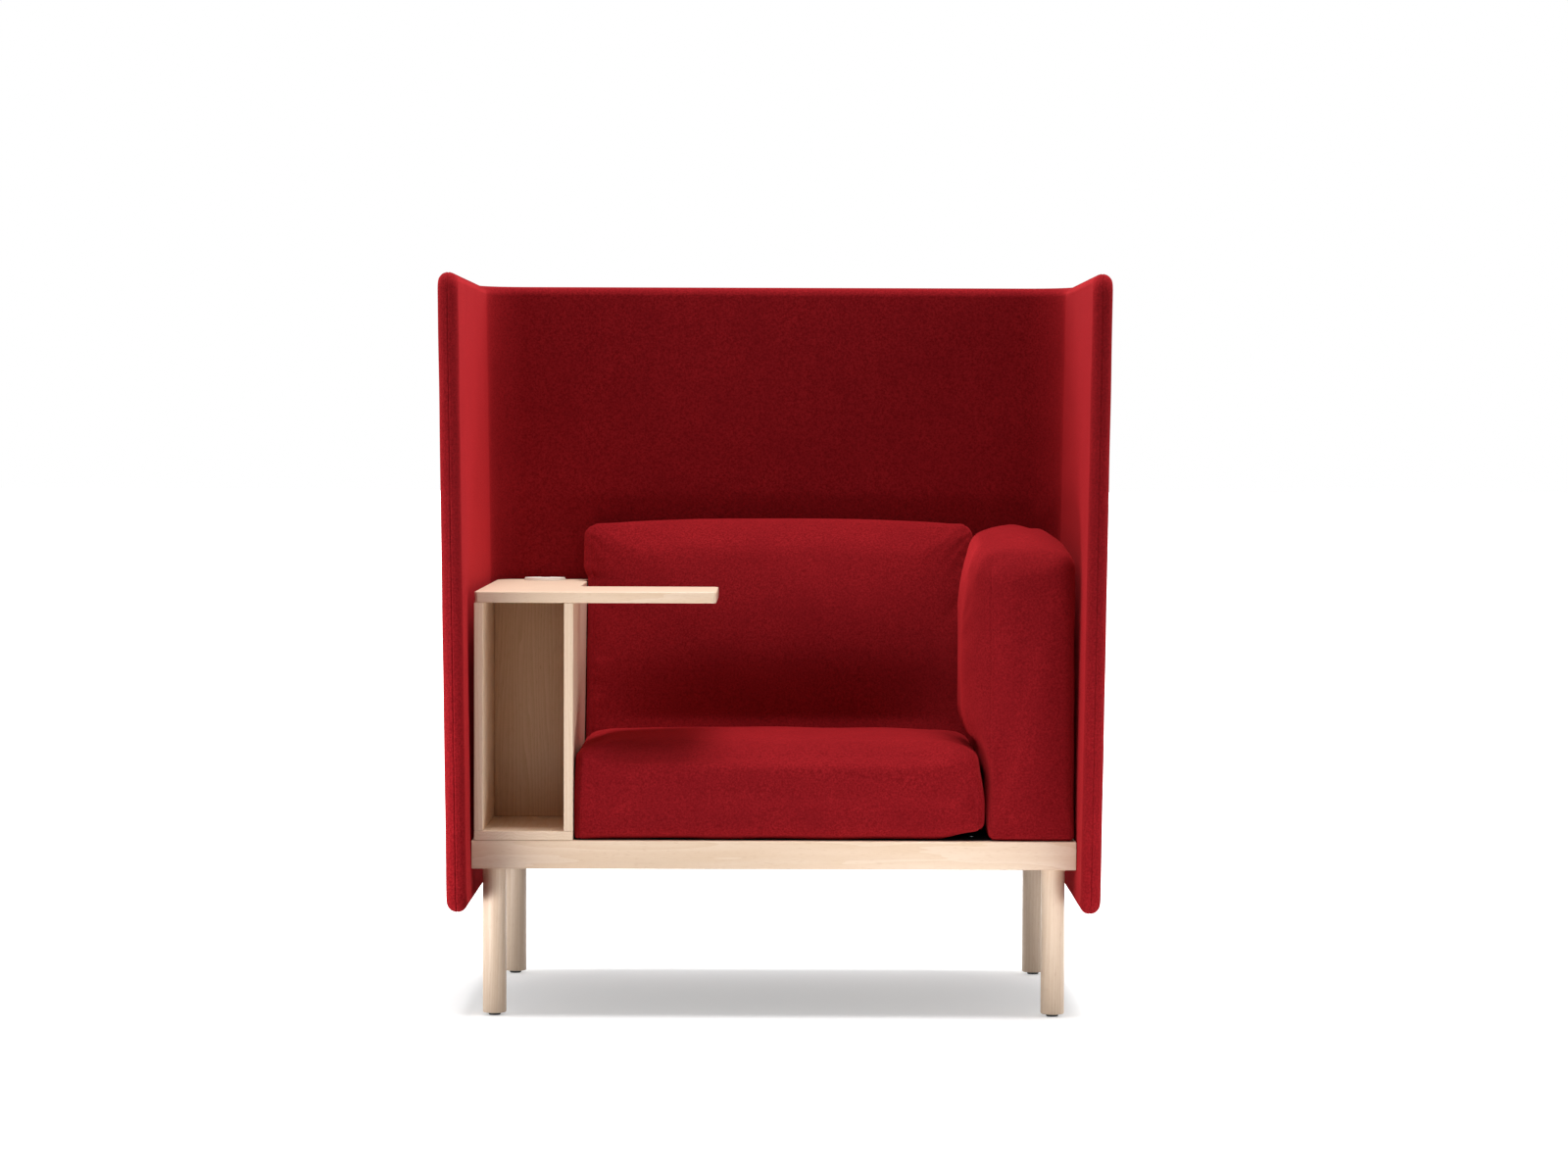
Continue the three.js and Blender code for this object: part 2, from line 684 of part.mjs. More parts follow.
// Lift-out cap with a skirt inside the sleeve and a notch at the rear for cables
function outletCap() {
  const skirt = outletBore / 2 - fitGap - linerWall - holeGap;
  const rim = outletBore / 2 + linerFlangeWidth - capInset;
  const low = capUnder - capSkirtDepth;
  const top = capUnder + capThickness;
  const profile = [
    [0, capUnder],
    [skirt - capSkirtWall, capUnder],
    [skirt - capSkirtWall, low],
    [skirt, low],
    [skirt, capUnder],
    [rim, capUnder],
    [rim, top - capThickness / 3],
    [rim - capThickness / 3, top],
    [0, top],
  ];
  const cap = turned(profile, outletX, outletY);
  const notchFrontY = outletY + rim - notchDepth;
  const half = notchWidth / 2;
  const slot = block(
    outletX - half,
    outletX + half,
    notchFrontY + half,
    outletY + rim + overrun,
    low - overrun,
    top + overrun,
  );
  const height = top - low + 2 * overrun;
  const round = bar("z", [outletX, notchFrontY + half, low - overrun], height, notchWidth, 2 * smallSides);
  return cut(cap, [slot, round]);
}

// Closed block with rounded edges. `shape` gets a point and its place on the block, from -1 to 1 each
// way, and moves the point. `round` gives the edge radius at a place.
function softBlock(low, high, counts, round, shape) {
  const geometry = positionsOnly(new THREE.BoxGeometry(2, 2, 2, ...counts));
  const { array } = geometry.attributes.position;
  const middle = low.map((value, i) => (value + high[i]) / 2);
  const half = low.map((value, i) => (high[i] - value) / 2);
  for (let i = 0; i < array.length; i += 3) {
    const place = [0, 1, 2].map((k) => (array[i + k] + Math.sin((array[i + k] * Math.PI) / 2)) / 2);
    const radius = round(place);
    const point = place.map((value, k) => value * half[k]);
    const inner = point.map((value, k) => THREE.MathUtils.clamp(value, radius - half[k], half[k] - radius));
    const away = point.map((value, k) => value - inner[k]);
    const length = Math.hypot(...away);
    const scale = length > 0 ? radius / length : 0;
    const rounded = inner.map((value, k) => middle[k] + value + away[k] * scale);
    const moved = shape(rounded, place);
    array.set(moved, i);
  }
  geometry.computeVertexNormals();
  return geometry;
}

const crownShare = (t) => 1 - t * t;
const flatCrownShare = (t) => 1 - t * t * t * t;
const mix = THREE.MathUtils.lerp;

// Slope of the joint between seat and back cushion, as a shift backwards at a height
const backLean = (z) => backLeanShare * (z - railTop);

function seatCushion() {
  const low = [seatLeftX, railFaceY + seatFrontSetback, railTop + fitGap];
  const high = [seatRightX, backFaceY - fitGap, seatHeight - seatCrown];
  const round = ([, , c]) => mix(seatBottomRound, seatTopRound, (c + 1) / 2);
  const shape = ([x, y, z], [a, b, c]) => {
    const top = Math.max(c, 0);
    const lean = backLean(z) * ((b + 1) / 2);
    const bulge = seatFrontBulge * Math.max(-b, 0) * flatCrownShare(a) * crownShare(c);
    const pull = seatSidePull * a * crownShare(b) * crownShare(c);
    return [x - pull, y + lean - bulge, z + seatCrown * top * flatCrownShare(a) * crownShare(b)];
  };
  return softBlock(low, high, [16, 10, 7], round, shape);
}

function backCushion() {
  const low = [seatLeftX, backFaceY, railTop + fitGap];
  const high = [seatRightX, backBoardY - fitGap, backHeight - backCrown];
  const round = ([, , c]) => mix(backBottomRound, backTopRound, (c + 1) / 2);
  const shape = ([x, y, z], [a, b, c]) => {
    const above = THREE.MathUtils.clamp((z - seatHeight) / (backHeight - seatHeight), 0, 1);
    const lean = backLean(z) * ((1 - b) / 2);
    const swell = backFaceCrown * Math.max(-b, 0) * crownShare(a) * Math.sin(above * Math.PI);
    const pull = backSidePull * a * crownShare(c) * Math.max(-b, 0);
    return [x - pull, y + lean - swell, z + backCrown * Math.max(c, 0) * flatCrownShare(a) * crownShare(b)];
  };
  return softBlock(low, high, [14, 6, 12], round, shape);
}

function armBoard(growth) {
  const y0 = railFaceY + armBoardSetback - growth;
  const y1 = screenInnerBackY - armRearSetback - armBoardRearSetback + growth;
  const x0 = armOuterX - armBoardThickness - growth;
  const x1 = armOuterX + (growth > 0 ? overrun : 0);
  const z = railTop + fitGap;
  return block(x0, x1, y0, y1, z - growth, z + armBoardHeight + growth);
}

function armCushion() {
  const low = [armInnerX, railFaceY + armFrontSetback, railTop + fitGap];
  const high = [armOuterX, screenInnerBackY - armRearSetback, armEdgeHeight];
  const round = ([, b, c]) => {
    const side = mix(armFrontRound, armRearRound, Math.max(b, 0));
    return Math.min(mix(seatBottomRound, side, (c + 1) / 2 + Math.max(b, 0)), side);
  };
  const shape = ([x, y, z], [a, b, c]) => {
    const above = THREE.MathUtils.clamp((z - seatHeight) / (armEdgeHeight - seatHeight), 0, 1);
    const along = THREE.MathUtils.clamp((y - low[1]) / (backFaceY - low[1]), 0, 1);
    const bulge = armBulge * Math.max(-a, 0) * Math.sin(above * Math.PI) * Math.sin(along * Math.PI);
    const crown = armCrown * Math.max(c, 0) * crownShare(a) * Math.sqrt(Math.max(crownShare(b), 0));
    const front = armFrontBulge * Math.max(-b, 0) * crownShare(a) * flatCrownShare(c);
    return [x - bulge, y - front, z + crown];
  };
  const cushion = softBlock(low, high, [7, 12, 11], round, shape);
  return cut(cushion, [armBoard(fitGap)]);
}

function addCushions() {
  addPiece("seat_cushion", seatCushion(), "wool");
  addPiece("back_cushion", backCushion(), "wool");
  const [left, right] = [seatLeftX + backBoardInset, seatRightX - backBoardInset];
  const foot = railTop + fitGap;
  const board = block(left, right, backBoardY, frameBackY, foot, foot + backBoardHeight);
  addPiece("back_board", board, "plywood");
  addPiece("arm_cushion", armCushion(), "wool");
  addPiece("arm_board", armBoard(0), "plywood");
}

addFrame();
addLegs();
addDeck();
addScreen();
addBox();
addTable();
addPiece("outlet_liner", outletLiner(), "outletPlastic");
addPiece("outlet_cap", outletCap(), "outletPlastic");
addCushions();

export default chair;
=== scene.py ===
import json
import math

import bmesh
import bpy
import numpy as np
from mathutils import Matrix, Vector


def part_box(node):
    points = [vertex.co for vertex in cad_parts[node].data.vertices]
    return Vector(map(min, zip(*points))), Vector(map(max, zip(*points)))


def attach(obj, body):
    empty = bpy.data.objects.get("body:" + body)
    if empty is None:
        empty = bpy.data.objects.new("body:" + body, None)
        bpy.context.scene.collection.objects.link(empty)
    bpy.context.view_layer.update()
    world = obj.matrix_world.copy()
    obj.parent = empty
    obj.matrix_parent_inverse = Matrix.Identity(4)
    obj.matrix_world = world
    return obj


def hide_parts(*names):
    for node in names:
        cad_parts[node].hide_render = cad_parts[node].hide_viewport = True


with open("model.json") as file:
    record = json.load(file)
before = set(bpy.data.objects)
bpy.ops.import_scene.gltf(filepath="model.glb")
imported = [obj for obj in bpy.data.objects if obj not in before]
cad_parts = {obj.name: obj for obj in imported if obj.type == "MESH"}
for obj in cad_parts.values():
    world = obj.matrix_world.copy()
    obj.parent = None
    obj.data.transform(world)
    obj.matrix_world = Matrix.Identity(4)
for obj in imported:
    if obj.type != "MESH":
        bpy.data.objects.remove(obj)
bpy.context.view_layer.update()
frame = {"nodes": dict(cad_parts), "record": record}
scene = bpy.context.scene
scene.view_settings.view_transform = "Standard"
mm = 0.001
print("frame loaded:", len(frame["nodes"]), "nodes")


def linear(hexColour):
    # sRGB hex to linear light
    code = hexColour.lstrip("#")
    value = np.array([int(code[i:i + 2], 16) / 255 for i in (0, 2, 4)])
    low, high = value / 12.92, ((value + 0.055) / 1.055) ** 2.4
    return (*np.where(value <= 0.04045, low, high).tolist(), 1.0)


def addNode(tree, kind, values=None, links=None, **settings):
    # A link comes from an output, or from a node, whose first output is then used
    node = tree.nodes.new(kind)
    for name, value in settings.items():
        setattr(node, name, value)
    for name, value in (values or {}).items():
        node.inputs[name].default_value = value
    for name, source in (links or {}).items():
        tree.links.new(getattr(source, "outputs", [source])[0], node.inputs[name])
    return node


def newMaterial(name, shaderValues, baseHex):
    material = bpy.data.materials.new(name)
    material.use_nodes = True
    material.diffuse_color = linear(baseHex)
    tree = material.node_tree
    shader = tree.nodes["Principled BSDF"]
    shader.inputs["Base Color"].default_value = linear(baseHex)
    for socket, value in shaderValues.items():
        shader.inputs[socket].default_value = value
    return material, tree, shader


view = {
    "place": (0.0154, -7.2675, 0.9648),
    "pitch": 2.113,  # degrees below level
    "roll": 0.176,
    "lens": 98.44,
}
cameraData = bpy.data.cameras.new("camera")
cameraData.lens = view["lens"]
cameraData.sensor_width = 36
cameraData.clip_end = 200
camera = bpy.data.objects.new("camera", cameraData)
scene.collection.objects.link(camera)
tilt = Matrix.Rotation(math.radians(90 - view["pitch"]), 3, "X")
camera.location = view["place"]
camera.rotation_mode = "QUATERNION"
camera.rotation_quaternion = (tilt @ Matrix.Rotation(math.radians(view["roll"]), 3, "Z")).to_quaternion()
scene.camera = camera

light = {
    "dome": (0.0, 0.9),  # strength in front and behind
    "domeReach": (-0.85, 0.35),
    "sideGlow": 1.7,  # low light from left and right
    "sideReach": (0.75, 0.97),
    "sideHeight": (0.25, 0.55),
    "keyWatts": 12,
    "keyPlace": (0.05, -0.2, 2.3),
    "keySize": (1.6, 1.2),
    "sunStrength": 2.5,
    "sunTurn": (1, 3, 0),  # degrees from straight down
    "sunSpread": 22,
    "leftBounce": (38, (-1.28, -0.75, 0.03), (1.1, 0.7), (165, 0, 0)),  # watts, place, size, turn
    "rightBounce": (18, (0.9, -0.75, 0.03), (1.8, 0.7), (165, 0, 0)),
    "floorSeen": "#e2e2e2",
    "floorThrown": "#7c7c7c",  # the tone that lights the object
    "floorGlow": (0.38, 1.0),  # near the chair and far from it
    "glowReach": (0.45, 1.2),  # metres
}


def addLamp(lamp, place, turn):
    panel = bpy.data.objects.new(lamp.name, lamp)
    panel.location = place
    panel.rotation_euler = [math.radians(angle) for angle in turn]
    panel.visible_camera = False
    scene.collection.objects.link(panel)


def addPanelLight(name, watts, place, size, turn):
    lamp = bpy.data.lights.new(name, "AREA")
    lamp.shape = "RECTANGLE"
    lamp.size, lamp.size_y = size
    lamp.energy = watts
    addLamp(lamp, place, turn)


def seenDirectly(tree):
    # 1 for camera, glossy and transmission rays, 0 for the light that falls on the object
    rays = addNode(tree, "ShaderNodeLightPath").outputs
    links = {0: rays["Is Camera Ray"], 1: rays["Is Glossy Ray"]}
    both = addNode(tree, "ShaderNodeMath", links=links, operation="MAXIMUM")
    links = {0: both, 1: rays["Is Transmission Ray"]}
    return addNode(tree, "ShaderNodeMath", links=links, operation="MAXIMUM")


def buildWorld():
    # The dome is dim in front, brighter behind and beside the object, and white where it is looked at
    world = bpy.data.worlds.new("studio")
    scene.world = world
    world.use_nodes = True
    tree = world.node_tree
    direction = addNode(tree, "ShaderNodeTexCoord").outputs["Generated"]
    parts = addNode(tree, "ShaderNodeSeparateXYZ", links={0: direction}).outputs
    (low, high), (dim, bright) = light["domeReach"], light["dome"]
    values = {"From Min": low, "From Max": high, "To Min": dim, "To Max": bright}
    behind = addNode(tree, "ShaderNodeMapRange", values, {"Value": parts["Y"]})
    across = addNode(tree, "ShaderNodeMath", links={0: parts["X"]}, operation="ABSOLUTE")
    low, high = light["sideReach"]
    values = {"From Min": low, "From Max": high, "To Max": light["sideGlow"]}
    beside = addNode(tree, "ShaderNodeMapRange", values, {"Value": across})
    low, high = light["sideHeight"]
    values = {"From Min": low, "From Max": high, "To Min": 1.0, "To Max": 0.0}
    height = addNode(tree, "ShaderNodeMapRange", values, {"Value": parts["Z"]})
    links = {0: beside, 1: height, 2: behind}
    dome = addNode(tree, "ShaderNodeMath", links=links, operation="MULTIPLY_ADD")
    strength = addNode(tree, "ShaderNodeMix", {3: 1.0}, {0: seenDirectly(tree), 2: dome})
    background = tree.nodes["Background"]
    background.inputs["Color"].default_value = (1, 1, 1, 1)
    tree.links.new(strength.outputs[0], background.inputs["Strength"])


def buildFloor():
    # Matt white paper. The glow lifts what the camera sees of it to white and keeps the shadow, and what it
    # throws back at the object is dimmer, as in a room whose front is dark.
    values = {"Roughness": 0.95, "Specular IOR Level": 0.0}
    material, tree, shader = newMaterial("whitePaperFloor", values, light["floorSeen"])
    tones = {6: linear(light["floorThrown"]), 7: linear(light["floorSeen"])}
    colour = addNode(tree, "ShaderNodeMix", tones, {0: seenDirectly(tree)}, data_type="RGBA").outputs[2]
    tree.links.new(colour, shader.inputs["Base Color"])
    shader.inputs["Emission Color"].default_value = (1, 1, 1, 1)
    place = addNode(tree, "ShaderNodeTexCoord").outputs["Object"]
    distance = addNode(tree, "ShaderNodeVectorMath", links={0: place}, operation="LENGTH").outputs["Value"]
    (low, high), (near, far) = light["glowReach"], light["floorGlow"]
    values = {"From Min": low, "From Max": high, "To Min": near, "To Max": far}
    glow = addNode(tree, "ShaderNodeMapRange", values, {"Value": distance})
    glow = addNode(tree, "ShaderNodeMath", links={0: glow, 1: seenDirectly(tree)}, operation="MULTIPLY")
    tree.links.new(glow.outputs[0], shader.inputs["Emission Strength"])
    mesh = bpy.data.meshes.new("floor")
    reach = 60
    corners = [(-reach, -reach, 0), (reach, -reach, 0), (reach, reach, 0), (-reach, reach, 0)]
    mesh.from_pydata(corners, [], [(0, 1, 2, 3)])
    mesh.materials.append(material)
    floor = bpy.data.objects.new("floor", mesh)
    scene.collection.objects.link(floor)


sun = bpy.data.lights.new("high lamp", "SUN")
sun.energy = light["sunStrength"]
sun.angle = math.radians(light["sunSpread"])
addLamp(sun, (0, 0, 4), light["sunTurn"])
addPanelLight("overhead softbox", light["keyWatts"], light["keyPlace"], light["keySize"], (0, 0, 0))
addPanelLight("left floor reflector", *light["leftBounce"])
addPanelLight("right floor reflector", *light["rightBounce"])
buildWorld()
buildFloor()
print("camera and light ready")

woolTones = {
    "mean": "#78121a", "deep": "#680a10", "bright": "#961c22", "cloud": "#6f0d15",
    "sheen": (1.0, 0.05, 0.06, 1.0),
}


def brushedWool():
    # Woven wool with a brushed face: matt, mottled by its mixed yarns, and a little paler where it is seen
    # edge on, because the fuzz catches light. The yarns are 0.8 mm and are drawn at 3 mm so that they show.
    values = {
        "Roughness": 0.95,
        "Specular IOR Level": 0.04,
        "Sheen Weight": 0.42,
        "Sheen Roughness": 0.6,
        "Sheen Tint": woolTones["sheen"],
    }
    material, tree, shader = newMaterial("brushedWool", values, woolTones["mean"])
    place = addNode(tree, "ShaderNodeTexCoord").outputs["Object"]
    values = {"Scale": 1 / 0.003, "Detail": 3, "Roughness": 0.65}
    yarn = addNode(tree, "ShaderNodeTexNoise", values, {"Vector": place})
    values = {"Scale": 1 / 0.07, "Detail": 2, "Roughness": 0.5}
    cloud = addNode(tree, "ShaderNodeTexNoise", values, {"Vector": place})
    mottle = addNode(tree, "ShaderNodeMapRange", {"From Min": 0.32, "From Max": 0.68}, {"Value": yarn})
    values = {"From Min": 0.3, "From Max": 0.7, "To Max": 0.35}
    shade = addNode(tree, "ShaderNodeMapRange", values, {"Value": cloud})
    tones = {6: linear(woolTones["deep"]), 7: linear(woolTones["bright"])}
    yarns = addNode(tree, "ShaderNodeMix", tones, {0: mottle}, data_type="RGBA").outputs[2]
    clouded = {7: linear(woolTones["cloud"])}
    colour = addNode(tree, "ShaderNodeMix", clouded, {0: shade, 6: yarns}, data_type="RGBA").outputs[2]
    relief = addNode(tree, "ShaderNodeBump", {"Distance": 0.6 * mm, "Strength": 0.5}, {"Height": yarn})
    tree.links.new(colour, shader.inputs["Base Color"])
    tree.links.new(relief.outputs[0], shader.inputs["Normal"])
    return material


ashTones = {"pale": "#efd5bc", "dark": "#e1c09e", "pore": "#c4986c"}
# darker ash tones for the magazine box's back panel: painted shade of the deep box
shadedPanelTones = {"pale": "#d6b08a", "dark": "#be9670", "pore": "#a0784f"}


def lacqueredAsh(name, axis, tones=ashTones):
    # Ash with a clear matt lacquer: pale, with straight growth lines 6 mm apart along the board and short
    # darker pores between them. The pores are 0.3 mm wide and are drawn at 0.9 mm.
    values = {"Roughness": 0.42, "IOR": 1.5, "Coat Weight": 0.12, "Coat Roughness": 0.35}
    material, tree, shader = newMaterial(name, values, tones["pale"])
    stretch = [1.0, 1.0, 1.0]
    stretch[axis] = 0.07
    place = addNode(tree, "ShaderNodeTexCoord").outputs["Object"]
    place = addNode(tree, "ShaderNodeMapping", {"Scale": stretch}, {"Vector": place})
    values = {"Scale": 1 / 0.05, "Detail": 3, "Roughness": 0.55}
    drift = addNode(tree, "ShaderNodeTexNoise", values, {"Vector": place})
    offset = addNode(tree, "ShaderNodeMapRange", {"To Max": 0.05}, {"Value": drift})
    shifted = addNode(tree, "ShaderNodeVectorMath", links={0: place, 1: offset}, operation="ADD")
    # a wave texture's bands lie 0.314 / scale apart
    values = {"Scale": 0.314 / 0.006, "Distortion": 1.5, "Detail": 2, "Detail Scale": 0.6}
    banded = {"bands_direction": "XYZ"[(axis + 1) % 3], "wave_profile": "SAW"}
    rings = addNode(tree, "ShaderNodeTexWave", values, {"Vector": shifted}, **banded).outputs["Fac"]
    fleck = addNode(tree, "ShaderNodeTexNoise", {"Scale": 1 / 0.0009, "Detail": 1}, {"Vector": place})
    lines = addNode(tree, "ShaderNodeMapRange", {"From Min": 0.1, "To Max": 0.55}, {"Value": rings})
    values = {"From Min": 0.6, "From Max": 0.78, "To Max": 0.4}
    pores = addNode(tree, "ShaderNodeMapRange", values, {"Value": fleck})
    grain = {6: linear(tones["pale"]), 7: linear(tones["dark"])}
    colour = addNode(tree, "ShaderNodeMix", grain, {0: lines}, data_type="RGBA").outputs[2]
    pore = {7: linear(tones["pore"])}
    colour = addNode(tree, "ShaderNodeMix", pore, {0: pores, 6: colour}, data_type="RGBA").outputs[2]
    relief = addNode(tree, "ShaderNodeBump", {"Distance": 0.1 * mm, "Strength": 0.25}, {"Height": fleck})
    tree.links.new(colour, shader.inputs["Base Color"])
    tree.links.new(relief.outputs[0], shader.inputs["Normal"])
    return material


def noisyMaterial(name, shaderValues, tones, grainSize, stretch=(1, 1, 1), relief=0.0):
    # Two tones of one colour mixed by fine noise, which the relief in mm also raises
    material, tree, shader = newMaterial(name, shaderValues, tones[1])
    place = addNode(tree, "ShaderNodeTexCoord").outputs["Object"]
    place = addNode(tree, "ShaderNodeMapping", {"Scale": stretch}, {"Vector": place})
    values = {"Scale": 1 / (grainSize * mm), "Detail": 3, "Roughness": 0.6}
    grain = addNode(tree, "ShaderNodeTexNoise", values, {"Vector": place})
    tone = addNode(tree, "ShaderNodeMapRange", {"From Min": 0.3, "From Max": 0.7}, {"Value": grain})
    ends = {6: linear(tones[0]), 7: linear(tones[1])}
    colour = addNode(tree, "ShaderNodeMix", ends, {0: tone}, data_type="RGBA").outputs[2]
    tree.links.new(colour, shader.inputs["Base Color"])
    if relief:
        values = {"Distance": relief * mm, "Strength": 0.5}
        normal = addNode(tree, "ShaderNodeBump", values, {"Height": grain})
        tree.links.new(normal.outputs[0], shader.inputs["Normal"])
    return material


def zincPlatedSteel():
    # Bright zinc on steel: pale grey metal whose gloss is slightly cloudy
    values = {"Metallic": 1.0, "Roughness": 0.32}
    material = noisyMaterial("zincPlatedSteel", values, ("#b9bbbf", "#d2d4d6"), 3)
    tree = material.node_tree
    place = addNode(tree, "ShaderNodeTexCoord").outputs["Object"]
    cloud = addNode(tree, "ShaderNodeTexNoise", {"Scale": 1 / 0.003, "Detail": 2}, {"Vector": place})
    values = {"From Min": 0.3, "From Max": 0.7, "To Min": 0.26, "To Max": 0.4}
    gloss = addNode(tree, "ShaderNodeMapRange", values, {"Value": cloud})
    tree.links.new(gloss.outputs[0], tree.nodes["Principled BSDF"].inputs["Roughness"])
    return material


wool = brushedWool()
ashAlong = [
    lacqueredAsh("lacqueredAshAcross", 0),
    lacqueredAsh("lacqueredAshDeep", 1),
    lacqueredAsh("lacqueredAshUpright", 2),
]
# The magazine box's back panel gets darker, browner ash tones than the rest of the ash: painted shade, so the
# box looks deep
paintedShadeAsh = lacqueredAsh("lacqueredAshPaintedShade", 2, shadedPanelTones)
# Raw birch plywood: pale brown and dull, with fine grain along the board
plywood = noisyMaterial("rawBirchPlywood", {"Roughness": 0.7}, ("#c29f74", "#dabb93"), 3, (1, 0.1, 1))
# Needled felt over the seat deck: near black, fuzzy and quite dull
dull = {"Roughness": 1.0, "Specular IOR Level": 0.2}
felt = noisyMaterial("blackNeedleFelt", dull, ("#141315", "#2a292c"), 1.5, relief=0.4)
zinc = zincPlatedSteel()
# Moulded plastics with a fine spark-eroded grain of 0.4 mm, one black and dull, one off-white and smoother
satin, smooth = {"Roughness": 0.55, "IOR": 1.5}, {"Roughness": 0.38, "IOR": 1.5}
glideNylon = noisyMaterial("mouldedBlackNylon", satin, ("#151516", "#222224"), 0.4, relief=0.05)
outletAbs = noisyMaterial("mouldedOffWhiteAbs", smooth, ("#ece2d6", "#f6eee4"), 0.4, relief=0.05)
materialOfSlot = {
    "wool_fabric": wool,
    "ash_wood": ashAlong[0],
    "plywood": plywood,
    "deck_felt": felt,
    "zinc_steel": zinc,
    "glide_plastic": glideNylon,
    "outlet_plastic": outletAbs,
}
for part in frame["record"]["subparts"]:
    data = frame["nodes"][part["node"]].data
    data.materials.clear()
    data.materials.append(materialOfSlot[part["material_slot"]])
print("materials ready")


def boxOf(node):
    low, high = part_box(node)
    return np.array(low) / mm, np.array(high) / mm


def smoothStep(value, start, end):
    t = np.clip((value - start) / (end - start), 0, 1)
    return t * t * (3 - 2 * t)


def gridQuads(rows, columns, closeColumns=False):
    # Faces of a grid of points stored row by row. The columns may close on themselves.
    i = np.arange(rows - 1)[:, None]
    j = np.arange(columns if closeColumns else columns - 1)[None, :]
    nextJ = (j + 1) % columns
    corners = [i * columns + j, i * columns + nextJ, (i + 1) * columns + nextJ, (i + 1) * columns + j]
    return np.stack(np.broadcast_arrays(*corners), -1).reshape(-1, 4)


def cappedRings(points):
    # Rings of points one above another, with a flat face at each end
    rows, columns = points.shape[:2]
    faces = gridQuads(rows, columns, closeColumns=True).tolist()
    faces.append(list(range(columns))[::-1])
    faces.append([(rows - 1) * columns + i for i in range(columns)])
    return points.reshape(-1, 3), faces


def meshVolume(mesh):
    mesh.calc_loop_triangles()
    points = np.zeros(len(mesh.vertices) * 3)
    mesh.vertices.foreach_get("co", points)
    corners = np.zeros(len(mesh.loop_triangles) * 3, int)
    mesh.loop_triangles.foreach_get("vertices", corners)
    a, b, c = points.reshape(-1, 3)[corners].reshape(-1, 3, 3).transpose(1, 0, 2)
    return (a * np.cross(b, c)).sum()


def closedObject(name, surfaces):
    # One object from a list of (points in mm, faces). Doubles are merged and faces turned outwards.
    points, faces, count = [], [], 0
    for surfacePoints, surfaceFaces in surfaces:
        points.append(np.asarray(surfacePoints, float) * mm)
        faces.extend((np.array(face) + count).tolist() for face in surfaceFaces)
        count += len(surfacePoints)
    mesh = bpy.data.meshes.new(name)
    mesh.from_pydata(np.concatenate(points).tolist(), [], faces)
    edit = bmesh.new()
    edit.from_mesh(mesh)
    bmesh.ops.remove_doubles(edit, verts=edit.verts, dist=0.01 * mm)
    edit.to_mesh(mesh)
    edit.free()
    if meshVolume(mesh) < 0:
        mesh.flip_normals()
    mesh.shade_smooth()
    piece = bpy.data.objects.new(name, mesh)
    scene.collection.objects.link(piece)
    return piece


def addPiece(name, surfaces, material, body, nodes, sharpAngle=30):
    piece = closedObject(name, surfaces)
    if sharpAngle < 180:
        piece.data.set_sharp_from_angle(angle=math.radians(sharpAngle))
    piece.data.materials.append(material)
    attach(piece, body)
    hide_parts(*nodes)
    return piece


def applyModifiers(piece):
    mesh = bpy.data.meshes.new_from_object(piece.evaluated_get(bpy.context.evaluated_depsgraph_get()))
    piece.modifiers.clear()
    old = piece.data
    piece.data = mesh
    bpy.data.meshes.remove(old)
    mesh.name = piece.name
    return mesh


cutMargin = 5  # mm by which a cutter stands out of what it cuts


def cutAway(piece, surface, sharpAngle):
    cutter = closedObject("cutter", [surface])
    opening = piece.modifiers.new("opening", "BOOLEAN")
    opening.object = cutter
    opening.operation = "DIFFERENCE"
    opening.solver = "EXACT"
    mesh = applyModifiers(piece)
    bpy.data.meshes.remove(cutter.data)
    mesh.set_sharp_from_angle(angle=math.radians(sharpAngle))


def boardSurface(low, high, axis, edgeRound, steps=4):
    # A rounded rectangle carried along the board's length. At each end it draws in along a quarter circle.
    u, v = [(1, 2), (2, 0), (0, 1)][axis]
    turn = np.concatenate([np.linspace(0, 90, steps + 1) + 90 * corner for corner in range(4)])
    turn = np.radians(turn)
    quarter = np.repeat(np.arange(4), steps + 1)
    centreU = np.where(np.isin(quarter, (0, 3)), high[u] - edgeRound, low[u] + edgeRound)
    centreV = np.where(quarter < 2, high[v] - edgeRound, low[v] + edgeRound)
    lift = np.radians(np.linspace(0, 90, steps + 1))
    start = low[axis] + edgeRound * (1 - np.cos(lift))
    end = high[axis] - edgeRound * (1 - np.cos(lift[::-1]))
    along = np.concatenate([start, end])
    radius = edgeRound * np.concatenate([np.sin(lift), np.sin(lift[::-1])])
    points = np.zeros((len(along), len(turn), 3))
    points[..., axis] = along[:, None]
    points[..., u] = centreU + radius[:, None] * np.cos(turn)
    points[..., v] = centreV + radius[:, None] * np.sin(turn)
    return cappedRings(points)


def turnedSurface(profile, x, y, sides=64):
    # A profile of (radius, height) pairs carried round an upright axis
    turn = np.linspace(0, 2 * np.pi, sides, endpoint=False)
    radius, height = np.array(profile, float).T
    across = [x + radius[:, None] * np.cos(turn), y + radius[:, None] * np.sin(turn)]
    points = np.stack([*across, np.repeat(height[:, None], sides, 1)], -1)
    return points.reshape(-1, 3), gridQuads(len(radius), sides, closeColumns=True).tolist()


def softNoise(points, size, seed):
    # Sum of twelve sine waves in fixed directions with wavelengths near the given size, about -1 to 1
    draw = np.random.RandomState(seed)
    direction = draw.normal(size=(12, 3))
    direction /= np.linalg.norm(direction, axis=1)[:, None]
    wave = 2 * np.pi / (size * draw.uniform(0.7, 1.4, 12))
    phase = draw.uniform(0, 2 * np.pi, 12)
    return np.sin(points @ (direction * wave[:, None]).T + phase).sum(1) / 5


